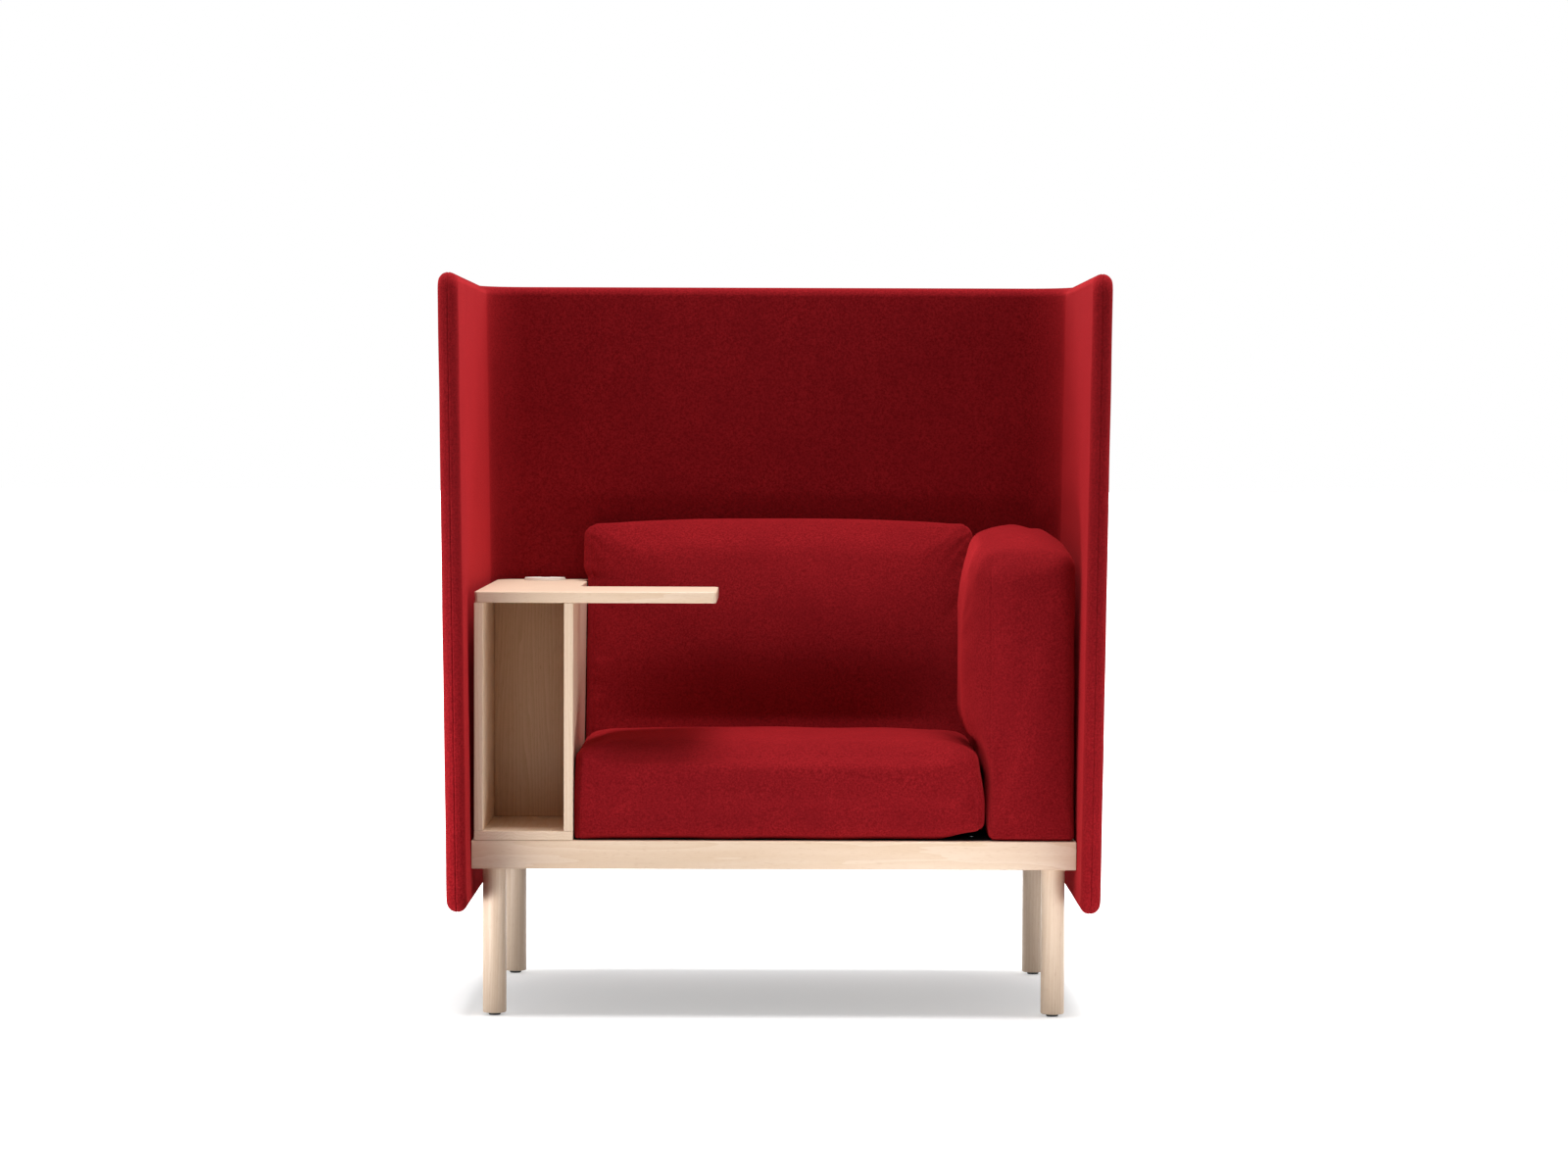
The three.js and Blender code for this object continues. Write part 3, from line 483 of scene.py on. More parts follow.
screen = {
    "depth": 765, "top": 1217, "bottom": 183, "thickness": 33,
    "halfWidth": 528, "flare": 15, "tipRadius": 30, "parting": 0.2,
    "cornerRadius": 45, "cornerGrowth": 23, "growthStart": 320,  # the rear corners open out towards the top
    "seamWidth": 1.0, "seamDepth": 0.9,  # groove where the two covers meet
    "stitchRow": 5.0, "stitchDepth": 0.35,  # rows of stitches beside it
    "stitchWidth": 0.8, "unevenness": 0.5, "waveSize": 190.0, "seed": 5,
    "edgeSteps": 22, "tipSteps": 7, "cornerSteps": 19, "rearSteps": 30, "rowStep": 8.0,
}


def screenPoint(column, z, offset):
    # Place on the screen for a column (straight run, corner angle, share across the back, side), a height
    # and an offset from the middle surface:
    #   x = side * ((w - r)(1 - across) + (r + offset) cos(angle)), y = run + (r + offset) sin(angle)
    # The half width w and the corner radius r grow with the height.
    half = screen["thickness"] / 2
    share = (z - screen["bottom"]) / (screen["top"] - screen["bottom"])
    middle = screen["halfWidth"] + screen["flare"] * share - half
    opened = np.clip((z - screen["growthStart"]) / (screen["top"] - screen["growthStart"]), 0, 1)
    growth = screen["cornerGrowth"] * opened
    radius = screen["cornerRadius"] + half + growth
    startY = half - screen["depth"] / 2
    length = screen["depth"] - 2 * half - half - screen["cornerRadius"]
    run, angle, across, side = column
    run = run - growth * np.clip((run - startY) / length, 0, 1)
    x = (middle - radius) * (1 - across) + radius * np.cos(angle)
    y = run + radius * np.sin(angle)
    place = np.stack([side * x, y, z], -1).reshape(-1, 3)
    wave = softNoise(place, screen["waveSize"], screen["seed"]).reshape(x.shape)
    offset = offset * (1 + wave * screen["unevenness"] / screen["thickness"])
    return np.stack([side * (x + offset * np.cos(angle)), y + offset * np.sin(angle), z + 0 * x], -1)


def screenCover(outward):
    # The cover is a flat-sided skin whose edge band turns through a quarter circle to the seam in the middle
    # of the screen's edge. Two grids of (column, height) make its faces, and a band of (round the outline,
    # turn of the edge) joins them.
    half = screen["thickness"] / 2
    bendY = screen["depth"] / 2 - 2 * half - screen["cornerRadius"]
    startY = -screen["depth"] / 2 + half
    inner = screen["tipRadius"] - half  # corner radius where the flat part begins
    turnIn = np.linspace(0, np.pi / 2, screen["tipSteps"])
    further = np.arange(inner, bendY - startY, screen["rowStep"])[1:]
    reach = np.concatenate([inner * (1 - np.cos(turnIn)), further])
    straight = np.stack([startY + reach, 0 * reach, 0 * reach], 1)
    angles = np.linspace(0, np.pi / 2, screen["cornerSteps"])
    corner = np.stack([0 * angles + bendY, angles, 0 * angles], 1)
    across = np.linspace(0, 1, screen["rearSteps"])[1:]
    rear = np.stack([0 * across + bendY, 0 * across + np.pi / 2, across], 1)
    right = np.concatenate([straight, corner, rear])
    left = right[-2::-1]
    columns = np.concatenate([np.c_[right, np.ones(len(right))], np.c_[left, -np.ones(len(left))]])
    farAway = np.full(len(columns) - 2 * len(reach), screen["depth"])
    reachAll = np.concatenate([reach, farAway, reach[::-1]])
    rise = inner - np.sqrt(np.maximum(inner ** 2 - np.maximum(inner - reachAll, 0) ** 2, 0))
    low, high = screen["bottom"] + half, screen["top"] - half
    rows = np.linspace(0, 1, int((high - low) / screen["rowStep"]))
    z = (low + rise)[:, None] + ((high - low) - 2 * rise)[:, None] * rows[None, :]
    table = [value[:, None] + 0 * z for value in columns.T]
    sign = 1 if outward else -1
    face = screenPoint(table, z, sign * half + 0 * z)
    back = screenPoint(table, z, sign * screen["parting"] + 0 * z)
    count, rowCount = z.shape
    # outline of the flat part: bottom, one end, top, other end, with its outward direction in the plane
    lowSlope = np.clip((inner - reachAll) / inner, 0, 1)
    zSlope = -np.sqrt(1 - lowSlope ** 2)
    index = [(i, 0) for i in range(count)] + [(count - 1, j) for j in range(1, rowCount)]
    index += [(i, rowCount - 1) for i in range(count - 2, -1, -1)]
    index += [(0, j) for j in range(rowCount - 2, 0, -1)]
    i, j = np.array(index).T
    onEnd = (j > 0) & (j < rowCount - 1)
    outRun = np.where(onEnd, -1.0, -lowSlope[i])
    outZ = np.where(onEnd, 0.0, np.where(j == 0, zSlope[i], -zSlope[i]))
    turn = np.linspace(0, np.pi / 2, screen["edgeSteps"])[:, None]
    level = screen["parting"] + (half - screen["parting"]) * np.sin(turn)
    dent = screen["seamDepth"] * np.exp(-(level / screen["seamWidth"]) ** 2)
    besideRow = (level - screen["stitchRow"]) / screen["stitchWidth"]
    dent = dent + screen["stitchDepth"] * np.exp(-besideRow ** 2)
    out = half * np.cos(turn) - dent
    ring = [columns[i, 0] + out * outRun] + [columns[i, k] + 0 * out for k in (1, 2, 3)]
    band = screenPoint(ring, z[i, j] + out * outZ, sign * level + 0 * ring[0])
    edge = z[i, j][None, :]
    seal = screenPoint([columns[i, k][None, :] for k in range(4)], edge, sign * screen["parting"] + 0 * edge)
    band = np.concatenate([seal, band])
    quads = gridQuads(count, rowCount)
    ringQuads = gridQuads(len(band), len(i), closeColumns=True)
    return [
        (face.reshape(-1, 3), quads if outward else quads[:, ::-1]),
        (back.reshape(-1, 3), quads[:, ::-1] if outward else quads),
        (band.reshape(-1, 3), ringQuads[:, ::-1] if outward else ringQuads),
    ]


for cover, outward in (("outer", True), ("inner", False)):
    name, node = f"screen_{cover}_wool", f"screen_{cover}_cover"
    addPiece(name, screenCover(outward), wool, "chair_frame", [node], 180)
print("screen ready")

boards = {  # axis along the grain, rounding of the edges
    "front_rail": (0, 1.6), "rear_rail": (0, 1.6), "left_rail": (1, 1.6), "right_rail": (1, 1.6),
    "box_left_wall": (2, 1.0), "box_right_wall": (2, 1.0), "box_back_panel": (2, 1.0), "box_bottom": (1, 1.0),
}
for node, (axis, edgeRound) in boards.items():
    surface = boardSurface(*boxOf(node), axis, edgeRound)
    # the box's back panel takes the darker ash tones: painted shade
    ash = paintedShadeAsh if node == "box_back_panel" else ashAlong[axis]
    addPiece(node + "_board", [surface], ash, "chair_frame", [node], 12)

table = {
    "trayDepth": 252, "armRight": -329.1, "edgeRound": 1.6,
    "cornerRadii": (7, 18, 22, 45),  # front, back, inner and rear
    "outlet": (-406.1, 290.5), "boreRadius": 30, "arcSteps": 9,
}


def tableOutline(inset):
    # Plan outline as six quarter arcs joined by straight edges: a deep arm on the box and a tray over the
    # seat. The inner corner turns the other way.
    low, high = boxOf("table_top")
    (left, front), (right, rear) = low[:2], high[:2]
    armRight, trayBack = table["armRight"], front + table["trayDepth"]
    small, middle, inner, large = table["cornerRadii"]
    arcs = [
        (right - small, front + small, small, -90, 90),
        (right - middle, trayBack - middle, middle, 0, 90),
        (armRight + inner, trayBack + inner, inner, -90, -90),
        (armRight - middle, rear - middle, middle, 0, 90),
        (left + large, rear - large, large, 90, 90),
        (left + small, front + small, small, 180, 90),
    ]
    x, y, radius, start, turn = np.array(arcs, float).T[:, :, None]
    angle = np.radians(start + turn * np.linspace(0, 1, table["arcSteps"]))
    reach = radius - inset * np.sign(turn)
    return np.stack([x + reach * np.cos(angle), y + reach * np.sin(angle)], -1).reshape(-1, 2)


def addTable():
    # Outlines stacked from the underside to the top, drawn in along quarter circles at both faces
    low, high = boxOf("table_top")
    edge = table["edgeRound"]
    lift = np.radians(np.linspace(0, 90, 5))
    insets = edge * (1 - np.sin(np.concatenate([lift, lift[::-1]])))
    depth = edge * (1 - np.cos(lift))
    levels = np.concatenate([low[2] + depth, high[2] - depth[::-1]])
    outlines = [tableOutline(inset) for inset in insets]
    rings = np.array([np.c_[outline, np.full(len(outline), z)] for outline, z in zip(outlines, levels)])
    slab = [cappedRings(rings)]
    piece = addPiece("table_top_slab", slab, ashAlong[0], "chair_frame", ["table_top"], 12)
    radius, under, over = table["boreRadius"], low[2] - cutMargin, high[2] + cutMargin
    bore = [(0, under), (radius, under), (radius, over), (0, over)]
    cutAway(piece, turnedSurface(bore, *table["outlet"]), 35)


addTable()
print("boards ready")

outlet = {
    "top": 699, "outer": 29.7, "wall": 2.5, "flange": 37, "flangeHeight": 1.6, "depth": 26, "gap": 0.3,
    "rim": 35.5, "capHeight": 2.4, "skirt": 26.9, "skirtWall": 2, "skirtDepth": 9,
    "notchWidth": 17, "notchDepth": 19, "ease": 0.2, "lidRound": 1, "sides": 96,
}


def addOutlet():
    # Sleeve with a flange, and a lift-out cap with a skirt and a round-ended notch for cables at the rear
    x, y = table["outlet"]
    bottom, seat = outlet["top"] - outlet["depth"], outlet["top"] + outlet["gap"]
    inner, outer, flange = outlet["outer"] - outlet["wall"], outlet["outer"], outlet["flange"]
    brim, ease = seat + outlet["flangeHeight"], outlet["ease"]
    sleeve = [
        (inner, bottom), (outer, bottom), (outer, seat), (flange, seat), (flange, brim - 3 * ease),
        (flange - ease, brim - ease), (flange - 3 * ease, brim), (inner + 2 * ease, brim),
        (inner, brim - 2 * ease), (inner, bottom),
    ]
    liner = [turnedSurface(sleeve, x, y, outlet["sides"])]
    addPiece("outlet_liner_moulded", liner, outletAbs, "chair_frame", ["outlet_liner"])
    under = brim + outlet["gap"]
    top, low = under + outlet["capHeight"], under - outlet["skirtDepth"]
    rim, skirt = outlet["rim"], outlet["skirt"]
    skirtInner, lidRound = skirt - outlet["skirtWall"], outlet["lidRound"]
    turn = np.radians(np.linspace(0, 90, 5))
    rounded = [(rim - lidRound * (1 - math.cos(a)), top - lidRound * (1 - math.sin(a))) for a in turn]
    lid = [
        (0, under), (skirtInner, under), (skirtInner, low), (skirt, low),
        (skirt, under), (rim, under), *rounded, (0, top),
    ]
    cap = [turnedSurface(lid, x, y, outlet["sides"])]
    piece = addPiece("outlet_cap_moulded", cap, outletAbs, "outlet_cap", ["outlet_cap"])
    half = outlet["notchWidth"] / 2
    centreY = y + rim - outlet["notchDepth"] + half
    turn = np.radians(np.linspace(180, 360, 25))
    outline = np.stack([x + half * np.cos(turn), centreY + half * np.sin(turn)], 1)
    outside = y + rim + cutMargin
    outline = np.concatenate([outline, [(x + half, outside), (x - half, outside)]])
    notch = np.array([np.c_[outline, np.full(len(outline), z)] for z in (low - cutMargin, top + cutMargin)])
    cutAway(piece, cappedRings(notch), 30)


addOutlet()
print("outlet ready")

screws = {
    "headHeight": 2.6, "dome": 0.3, "recess": 1.3, "shank": 1.8, "sides": 64,
    "slotHalf": (0.55, 0.85), "slotReach": (2.3, 2.7),  # where the recess's side starts and ends
    "raised": {"deck_screw_front_right": 2.2},  # stands a little proud under the seat's lifted corner
}


def addScrew(node):
    # A pan head as a grid of (radius, turn) whose height is h - dome * r^2 - recess * cross(x, y), on a shank
    low, high = boxOf(node)
    x, y = (low[:2] + high[:2]) / 2
    head = (high[0] - low[0]) / 2
    top = high[2] + screws["dome"] + screws["raised"].get(node, 0)
    share = np.linspace(0, 1, 26)[:, None]
    turn = np.linspace(0, 2 * np.pi, screws["sides"], endpoint=False)
    u, v = share * head * np.cos(turn), share * head * np.sin(turn)
    narrow, wide = np.minimum(abs(u), abs(v)), np.maximum(abs(u), abs(v))
    cross = 1 - smoothStep(narrow, *screws["slotHalf"])
    cross = cross * (1 - smoothStep(wide, *screws["slotReach"]))
    z = top - 2 * screws["dome"] * share ** 2 - screws["recess"] * cross
    under = top - screws["headHeight"]
    rest = np.array([(head, under), (screws["shank"], under), (screws["shank"], low[2]), (0, low[2])])
    radius, height = rest[:, :1], rest[:, 1:]
    acrossX = x + np.concatenate([u, radius * np.cos(turn)])
    acrossY = y + np.concatenate([v, radius * np.sin(turn)])
    points = np.stack([acrossX, acrossY, np.concatenate([z, height + 0 * turn])], -1)
    surface = (points.reshape(-1, 3), gridQuads(len(points), len(turn), closeColumns=True).tolist())
    addPiece(node + "_headed", [surface], zinc, "chair_frame", [node], 40)


for row in ("front", "rear"):
    for place in ("left", "centre", "right"):
        addScrew(f"deck_screw_{row}_{place}")

legs = {
    "radius": 19.5, "chamfer": 2.2, "bottom": 4.3, "top": 244.7,
    "glideRadius": 10, "glideHeight": 4, "glideChamfer": 0.8, "glideSides": 48,
}


def addLeg(corner):
    low, high = boxOf("leg_" + corner)
    x, y = (low[:2] + high[:2]) / 2
    radius, chamfer, bottom, top = legs["radius"], legs["chamfer"], legs["bottom"], legs["top"]
    turn = np.radians(np.linspace(0, 90, 6))
    rounded = [(radius - chamfer + chamfer * math.sin(a), bottom + chamfer * (1 - math.cos(a))) for a in turn]
    profile = [(0, bottom), *rounded, (radius, top), (0, top)]
    leg, glide = f"leg_{corner}", f"glide_{corner}"
    addPiece(leg + "_turned", [turnedSurface(profile, x, y)], ashAlong[2], "chair_frame", [leg])
    radius, height, chamfer = legs["glideRadius"], legs["glideHeight"], legs["glideChamfer"]
    profile = [(0, 0), (radius - chamfer, 0), (radius, chamfer), (radius, height), (0, height)]
    surface = turnedSurface(profile, x, y, legs["glideSides"])
    addPiece(glide + "_moulded", [surface], glideNylon, "chair_frame", [glide])


for corner in ("front_left", "front_right", "rear_left", "rear_right"):
    addLeg(corner)
print("legs and screws ready")


def blockGrid(counts):
    # Six faces of a cube, each a grid of two parameters, joined along the cube's edges. Returns places from
    # -1 to 1, closer together near the edges, and the faces.
    counts = np.array(counts)
    keys, quads = [], []
    size = counts + 1
    for axis in range(3):
        u, v = (axis + 1) % 3, (axis + 2) % 3
        for end in (0, 1):
            lattice = np.zeros((size[u], size[v], 3), int)
            lattice[..., axis] = end * counts[axis]
            lattice[..., u] = np.arange(size[u])[:, None]
            lattice[..., v] = np.arange(size[v])[None, :]
            key = (lattice[..., 0] * size[1] + lattice[..., 1]) * size[2] + lattice[..., 2]
            face = key.reshape(-1)[gridQuads(size[u], size[v])]
            quads.append(face if end == 0 else face[:, ::-1])
            keys.append(key.reshape(-1))
    unique = np.unique(np.concatenate(keys))
    quads = np.searchsorted(unique, np.concatenate(quads))
    lattice = np.stack([unique // (size[1] * size[2]), unique // size[2] % size[1], unique % size[2]], 1)
    place = lattice / counts * 2 - 1
    return (place + np.sin(place * np.pi / 2)) / 2, quads


def roundedBlock(place, low, high, edgeRadius):
    # Points of a block with rounded edges. The radius may differ from point to point.
    low, high = np.array(low, float), np.array(high, float)
    half, middle = (high - low) / 2, (high + low) / 2
    point = place * half
    limit = half[None, :] - edgeRadius[:, None]
    inner = np.clip(point, -limit, limit)
    away = point - inner
    length = np.maximum(np.linalg.norm(away, axis=1), 1e-9)
    return middle + inner + away * (edgeRadius / length)[:, None]


def swell(t):
    # 1 in the middle and 0 with no slope at both ends, so that no crease forms at an edge
    return (1 - t * t) ** 2


def flatSwell(t):
    return (1 - t ** 4) ** 2


leanAtDeck, leanShare, deckTop = 98.5, 0.3, 291.5
onFace = 0.999  # a place beyond this lies on a face of the cube
filling = {"pressure": 4.0, "tension": 15, "bending": 0.5, "frames": 20}
waveSize = 140.0  # mm between the slight waves of a cover
seam = {
    "depth": 1.5, "width": 1.5, "pucker": 0.6, "puckerSize": 16.0, "puckerReach": 14.0,
    "puckerStretch": 0.15,  # puckers run across the seam
    "facing": (0.8, 0.97),  # it fades out where the face turns towards its plane
}


def leanPlane(z):
    # Y of the joint between the seat and the back cushion at a height
    return leanAtDeck + leanShare * (z - deckTop)


def newCushion(name, points, quads):
    mesh = bpy.data.meshes.new(name)
    mesh.from_pydata((points * mm).tolist(), [], quads.tolist())
    if meshVolume(mesh) < 0:
        mesh.flip_normals()
    mesh.shade_smooth()
    mesh.materials.append(wool)
    piece = bpy.data.objects.new(name, mesh)
    scene.collection.objects.link(piece)
    return piece


def readPoints(mesh):
    points = np.zeros(len(mesh.vertices) * 3)
    mesh.vertices.foreach_get("co", points)
    return points.reshape(-1, 3) / mm


def writePoints(mesh, points):
    mesh.vertices.foreach_set("co", (points * mm).ravel())
    mesh.update()


def readNormals(mesh):
    normals = np.zeros(len(mesh.vertices) * 3)
    mesh.vertices.foreach_get("normal", normals)
    return normals.reshape(-1, 3)


def inflate(piece, resting, held, cap):
    # Blows the cover up like a filled cushion, holding what rests on the frame, caps the movement and
    # keeps the ends from drawing in
    start = readPoints(piece.data)
    group = piece.vertex_groups.new(name="resting")
    group.add(np.nonzero(resting)[0].tolist(), 1.0, "REPLACE")
    cloth = piece.modifiers.new("filling", "CLOTH")
    cloth.settings.quality = 4
    cloth.settings.tension_stiffness = filling["tension"]
    cloth.settings.compression_stiffness = filling["tension"]
    cloth.settings.bending_stiffness = filling["bending"]
    cloth.settings.use_pressure = True
    cloth.settings.uniform_pressure_force = filling["pressure"]
    cloth.settings.vertex_group_mass = "resting"
    cloth.settings.effector_weights.gravity = 0
    cloth.point_cache.frame_start = 1
    cloth.point_cache.frame_end = filling["frames"]
    for step in range(1, filling["frames"] + 1):
        scene.frame_set(step)
    evaluated = piece.evaluated_get(bpy.context.evaluated_depsgraph_get())
    shift = readPoints(evaluated.to_mesh()) - start
    evaluated.to_mesh_clear()
    piece.modifiers.remove(cloth)
    piece.vertex_groups.clear()
    scene.frame_set(1)
    length = np.maximum(np.linalg.norm(shift, axis=1), 1e-9)
    print(piece.name, "filled, moved up to", round(float(length.max()), 1), "mm, capped at", cap)
    return start + shift * (cap * np.tanh(length / cap) / length)[:, None] * held


def finishCover(piece, points, low, high, settings):
    # One subdivision, slight waves, and a stretch that brings the cushion back to its width and height
    writePoints(piece.data, points)
    divide = piece.modifiers.new("divide", "SUBSURF")
    divide.levels = divide.render_levels = 1
    mesh = applyModifiers(piece)
    points = readPoints(mesh)
    wave = settings["waves"] * softNoise(points, waveSize, settings["seed"])
    points = points + readNormals(mesh) * wave[:, None]
    for axis, start, end in ((0, low[0], high[0]), (2, low[2], high[2])):
        least, most = points[:, axis].min(), points[:, axis].max()
        points[:, axis] = start + (points[:, axis] - least) * (end - start) / (most - least)
    writePoints(mesh, points)
    return points


def sewSeam(points, normals, seamX, seed):
    # A sewn seam where the cushion crosses an upright plane: a narrow groove, with puckers that fade away
    # from it
    distance = points[:, 0] - seamX
    facing = 1 - smoothStep(np.abs(normals[:, 0]), *seam["facing"])
    near = np.exp(-(distance / seam["width"]) ** 2)
    place = points * (seam["puckerStretch"], 1, 1)
    pucker = softNoise(place, seam["puckerSize"], seed) * np.exp(-np.abs(distance) / seam["puckerReach"])
    depth = seam["depth"] * near + seam["pucker"] * pucker * (1 - near)
    return points - normals * (depth * facing)[:, None]


def sewEndSeams(mesh, points, settings):
    # One seam near each end, where the end panels are sewn in
    ends = (settings["low"][0] + settings["seamInset"], settings["high"][0] - settings["seamInset"])
    for seamX, seed in zip(ends, settings["seamSeeds"]):
        points = sewSeam(points, readNormals(mesh), seamX, seed)
    return points


def finishCushion(piece, points, body, node):
    writePoints(piece.data, points)
    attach(piece, body)
    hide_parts(node)


seat = {
    "low": (-328.0, -264.5, 291.8), "high": (347.0, 98.2, 463.0),
    "counts": (112, 62, 28), "topRound": 60, "endRound": 24, "sideRound": 10,
    "bottomRound": 19, "leftRound": 6, "crown": 11, "frontBulge": 5, "rightLean": 11, "margin": 5,
    "cap": 6, "waves": 0.8, "seed": 11, "seamInset": 9, "seamSeeds": (21, 22), "fill": 0.7,
    "leanHeights": (345, 450),  # where the right end starts and stops leaning in
    "cornerLift": 13, "cornerReach": ((262, 334), (-262, -110), (292, 350)),  # fades over these x, y and z
    "clearance": 0.3,
}


def seatCushion():
    place, quads = blockGrid(seat["counts"])
    a, b, c = place.T
    margin = seat["margin"]
    low = np.array(seat["low"]) + (margin * 0.3, margin, 0)
    high = np.array(seat["high"]) - (margin * 0.3, 0, seat["crown"] + margin)
    top = seat["topRound"] + (seat["endRound"] - seat["topRound"]) * smoothStep(np.abs(a), 0.7, 1)
    edge = seat["sideRound"] + (top - seat["sideRound"]) * smoothStep(c, 0, 1)
    bottom = seat["bottomRound"] + (seat["leftRound"] - seat["bottomRound"]) * smoothStep(-a, 0.8, 1)
    edge = edge + (bottom - seat["sideRound"]) * smoothStep(-c, 0.3, 1)
    x, y, z = roundedBlock(place, low, high, edge).T
    lean = leanShare * (z - deckTop) * (y - low[1]) / (high[1] - low[1])
    bulge = seat["frontBulge"] * np.maximum(-b, 0) * flatSwell(a) * swell(c)
    pull = seat["rightLean"] * smoothStep(a, 0.5, 1) * smoothStep(z, *seat["leanHeights"])
    lift = seat["crown"] * smoothStep(c, 0, 1) * flatSwell(a) * swell(b)
    piece = newCushion("seat_cushion_wool", np.stack([x - pull, y + lean - bulge, z + lift], 1), quads)
    resting = (c < -onFace) | (b > onFace)
    held = np.stack([1 - smoothStep(np.abs(a), 0.8, 1), 1 + 0 * a, 1 + 0 * a], 1)
    points = inflate(piece, resting, held, seat["cap"])
    points = finishCover(piece, points, seat["low"], seat["high"], seat)
    points = sewEndSeams(piece.data, points, seat)
    # the front right corner stands a little off the deck
    corner = [smoothStep(points[:, axis], *seat["cornerReach"][axis]) for axis in range(3)]
    points[:, 2] += seat["cornerLift"] * corner[0] * (1 - corner[1]) * (1 - corner[2])
    points[:, 0] = np.clip(points[:, 0], seat["low"][0], seat["high"][0])
    points[:, 1] = np.minimum(points[:, 1], leanPlane(points[:, 2]) - seat["clearance"])
    points[:, 2] = np.maximum(points[:, 2], seat["low"][2])
    finishCushion(piece, points, "seat_cushion", "seat_cushion")


back = {
    "low": (-328.0, 98.5, 291.8), "high": (347.0, 336.6, 808.5),
    "counts": (104, 34, 78), "topRound": 82, "endRound": 24, "sideRound": 12,
    "crown": 9, "faceCrown": 34, "margin": 4,
    "cap": 6, "waves": 0.8, "seed": 12, "seamInset": 12, "seamSeeds": (31, 32), "fill": 0.65,
    "faceHeights": (463, 806),  # the part of the face above the seat
    "restHeight": 440, "freeHeights": (430, 580),
    "overTable": 8, "overReach": ((250, 328), (702.5, 725.5), (785, 812)),  # over x, from these z to those
    "behindSeat": 470,
}


def backCushion():
    place, quads = blockGrid(back["counts"])
    a, b, c = place.T
    margin = back["margin"]
    low = np.array(back["low"]) + (margin * 0.3, margin, 0)
    high = np.array(back["high"]) - (margin * 0.3, 0, back["crown"] + margin)
    top = back["topRound"] + (back["endRound"] - back["topRound"]) * smoothStep(np.abs(a), 0.6, 0.97)
    edge = back["sideRound"] + (top - back["sideRound"]) * smoothStep(c, 0.3, 1)
    x, y, z = roundedBlock(place, low, high, edge).T
    faceLow, faceHigh = back["faceHeights"]
    above = np.clip((z - faceLow) / (faceHigh - faceLow), 0, 1)
    lean = leanShare * (z - deckTop) * (high[1] - y) / (high[1] - low[1])
    bulge = back["faceCrown"] * smoothStep(-b, 0, 1) * flatSwell(a) * np.sin(above * np.pi)
    lift = back["crown"] * smoothStep(c, 0, 1) * flatSwell(a)
    piece = newCushion("back_cushion_wool", np.stack([x, y + lean - bulge, z + lift], 1), quads)
    resting = (c < -onFace) | (b > onFace) | (z < back["restHeight"])
    free = smoothStep(z, *back["freeHeights"])
    held = np.stack([free * (1 - smoothStep(np.abs(a), 0.8, 1)), free, free], 1)
    points = inflate(piece, resting, held, back["cap"])
    points = finishCover(piece, points, back["low"], back["high"], back)
    points = sewEndSeams(piece.data, points, back)
    points[:, 0] = np.clip(points[:, 0], back["low"][0], back["high"][0])
    # the upper left end swells over the table's edge
    acrossReach, fromHeights, toHeights = back["overReach"]
    over = smoothStep(points[:, 2], *fromHeights) * (1 - smoothStep(points[:, 2], *toHeights))
    points[:, 0] -= back["overTable"] * over * smoothStep(-points[:, 0], *acrossReach)
    behind = np.maximum(points[:, 1], leanPlane(points[:, 2]))
    points[:, 1] = np.where(points[:, 2] < back["behindSeat"], behind, points[:, 1])
    points[:, 2] = np.maximum(points[:, 2], back["low"][2])
    finishCushion(piece, points, "chair_frame", "back_cushion")


arm = {
    "low": (350.1, -263.5, 291.8), "high": (493.4, 343.5, 804.0), "edgeHeight": 764,
    "counts": (30, 96, 78), "leftRound": 12, "leftSwollen": 58, "rightRound": 20, "topRound": 56,
    "topEnds": (26, 28), "rearRound": 62, "bottomRound": 9, "peak": 40, "leftFall": 9, "rightFall": 27,
    "bulge": 38, "bulgeHeights": (392, 500), "easeHeights": (650, 810), "bulgeEase": 0.45,
    "frontReach": (-264, -170), "rearReach": (0, 95), "frontBulge": 3, "margin": 4,
    "cap": 5, "waves": 0.7, "seed": 13, "fill": 0.7,
    "seamPlace": 355, "seamSeed": 41, "seamDepths": (-245, -222), "seamHeights": (735, 762),
    "clearance": 1,
}


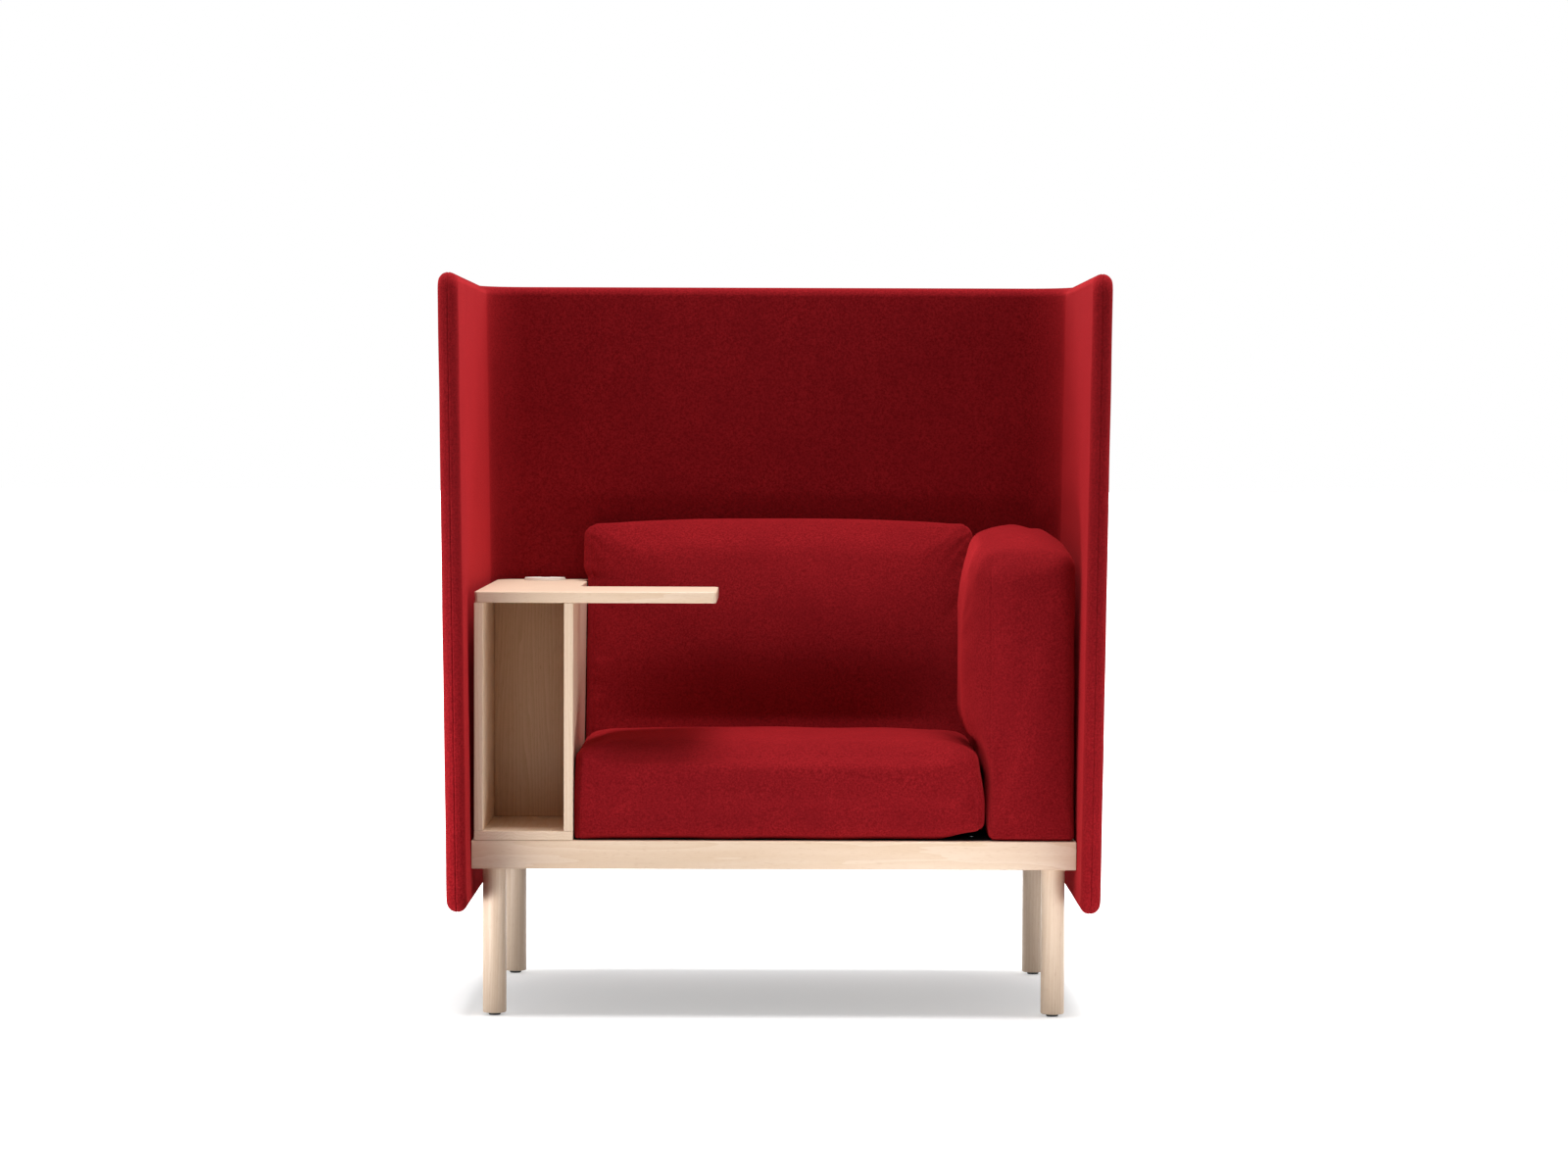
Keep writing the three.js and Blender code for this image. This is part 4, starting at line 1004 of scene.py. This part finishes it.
def armCushion():
    place, quads = blockGrid(arm["counts"])
    a, b, c = place.T
    margin = arm["margin"]
    low = np.array(arm["low"]) + (margin * 0.5, margin * 0.7, 0)
    high = np.array((*arm["high"][:2], arm["edgeHeight"] - margin * 0.5))
    left = arm["leftRound"] + (arm["leftSwollen"] - arm["leftRound"]) * smoothStep(c, -0.45, 0.05)
    front = left + (arm["rightRound"] - left) * smoothStep(a, -0.6, 0.6)
    side = front + (arm["rearRound"] - front) * smoothStep(b, -0.2, 0.9)
    leftEnd = (arm["topRound"] - arm["topEnds"][0]) * smoothStep(-a, 0.2, 0.95) * smoothStep(b, -1, -0.7)
    rightEnd = (arm["topRound"] - arm["topEnds"][1]) * smoothStep(a, 0, 0.95)
    top = np.maximum(arm["topRound"] - leftEnd - rightEnd, arm["rearRound"] * smoothStep(b, 0.2, 0.9))
    edge = side + (top - side) * smoothStep(c, 0.4, 1)
    edge = edge + (arm["bottomRound"] - edge) * smoothStep(-c, 0.5, 1) * (1 - smoothStep(b, 0, 0.5))
    x, y, z = roundedBlock(place, low, high, edge).T
    # the top rises from its edges to a broad peak left of the middle, and falls to the front and the rear
    fall = arm["leftFall"] * smoothStep(-a, 0.3, 1) + arm["rightFall"] * smoothStep(a, -0.3, 1.1)
    rise = arm["peak"] - fall
    z = z + rise * smoothStep(c, -1, 1) * (1 - np.abs(b) ** 3) ** 2
    # the left side leans out over the seat, most of all halfway along
    ease = arm["bulgeEase"]
    out = arm["bulge"] * smoothStep(z, *arm["bulgeHeights"]) * (1 - ease * smoothStep(z, *arm["easeHeights"]))
    alongDepth = ease + (1 - ease) * smoothStep(y, *arm["frontReach"])
    out = out * alongDepth * (1 - smoothStep(y, *arm["rearReach"]))
    x = x - out * smoothStep(-a, -0.6, 1)
    y = y - arm["frontBulge"] * np.maximum(-b, 0) * swell(a) * flatSwell(c)
    piece = newCushion("arm_cushion_wool", np.stack([x, y, z], 1), quads)
    resting = (c < -onFace) | (a > onFace)
    frontTop = smoothStep(c, 0.4, 0.8) * smoothStep(-b, 0.5, 0.9)
    held = ((1 - smoothStep(a, 0.1, 1)) * smoothStep(c, -1, -0.6) * (1 - 0.8 * frontTop))[:, None]
    points = inflate(piece, resting, held, arm["cap"])
    low = (points[:, 0].min(), 0, arm["low"][2])
    points = finishCover(piece, points, low, arm["high"], arm)
    # the front panel's seam runs down the left of the front face
    sewn = sewSeam(points, readNormals(piece.data), arm["seamPlace"], arm["seamSeed"])
    onFront = 1 - smoothStep(points[:, 1], *arm["seamDepths"])
    onFront = onFront * (1 - smoothStep(points[:, 2], *arm["seamHeights"]))
    points = points + (sewn - points) * onFront[:, None]
    # it follows the rounded end of the seat cushion without entering it
    z = points[:, 2]
    above = np.clip(z - seat["high"][2] + seat["endRound"], 0, seat["endRound"])
    seatEnd = seat["high"][0] - seat["rightLean"] * smoothStep(z, *seat["leanHeights"])
    seatEnd = seatEnd - seat["endRound"] + np.sqrt(seat["endRound"] ** 2 - above ** 2)
    beside = np.maximum(points[:, 0], seatEnd + arm["clearance"])
    points[:, 0] = np.where(z < seat["high"][2], beside, points[:, 0])
    points[:, 2] = np.maximum(points[:, 2], arm["low"][2])
    finishCushion(piece, points, "chair_frame", "arm_cushion")


seatCushion()
backCushion()
armCushion()
print("cushions ready")
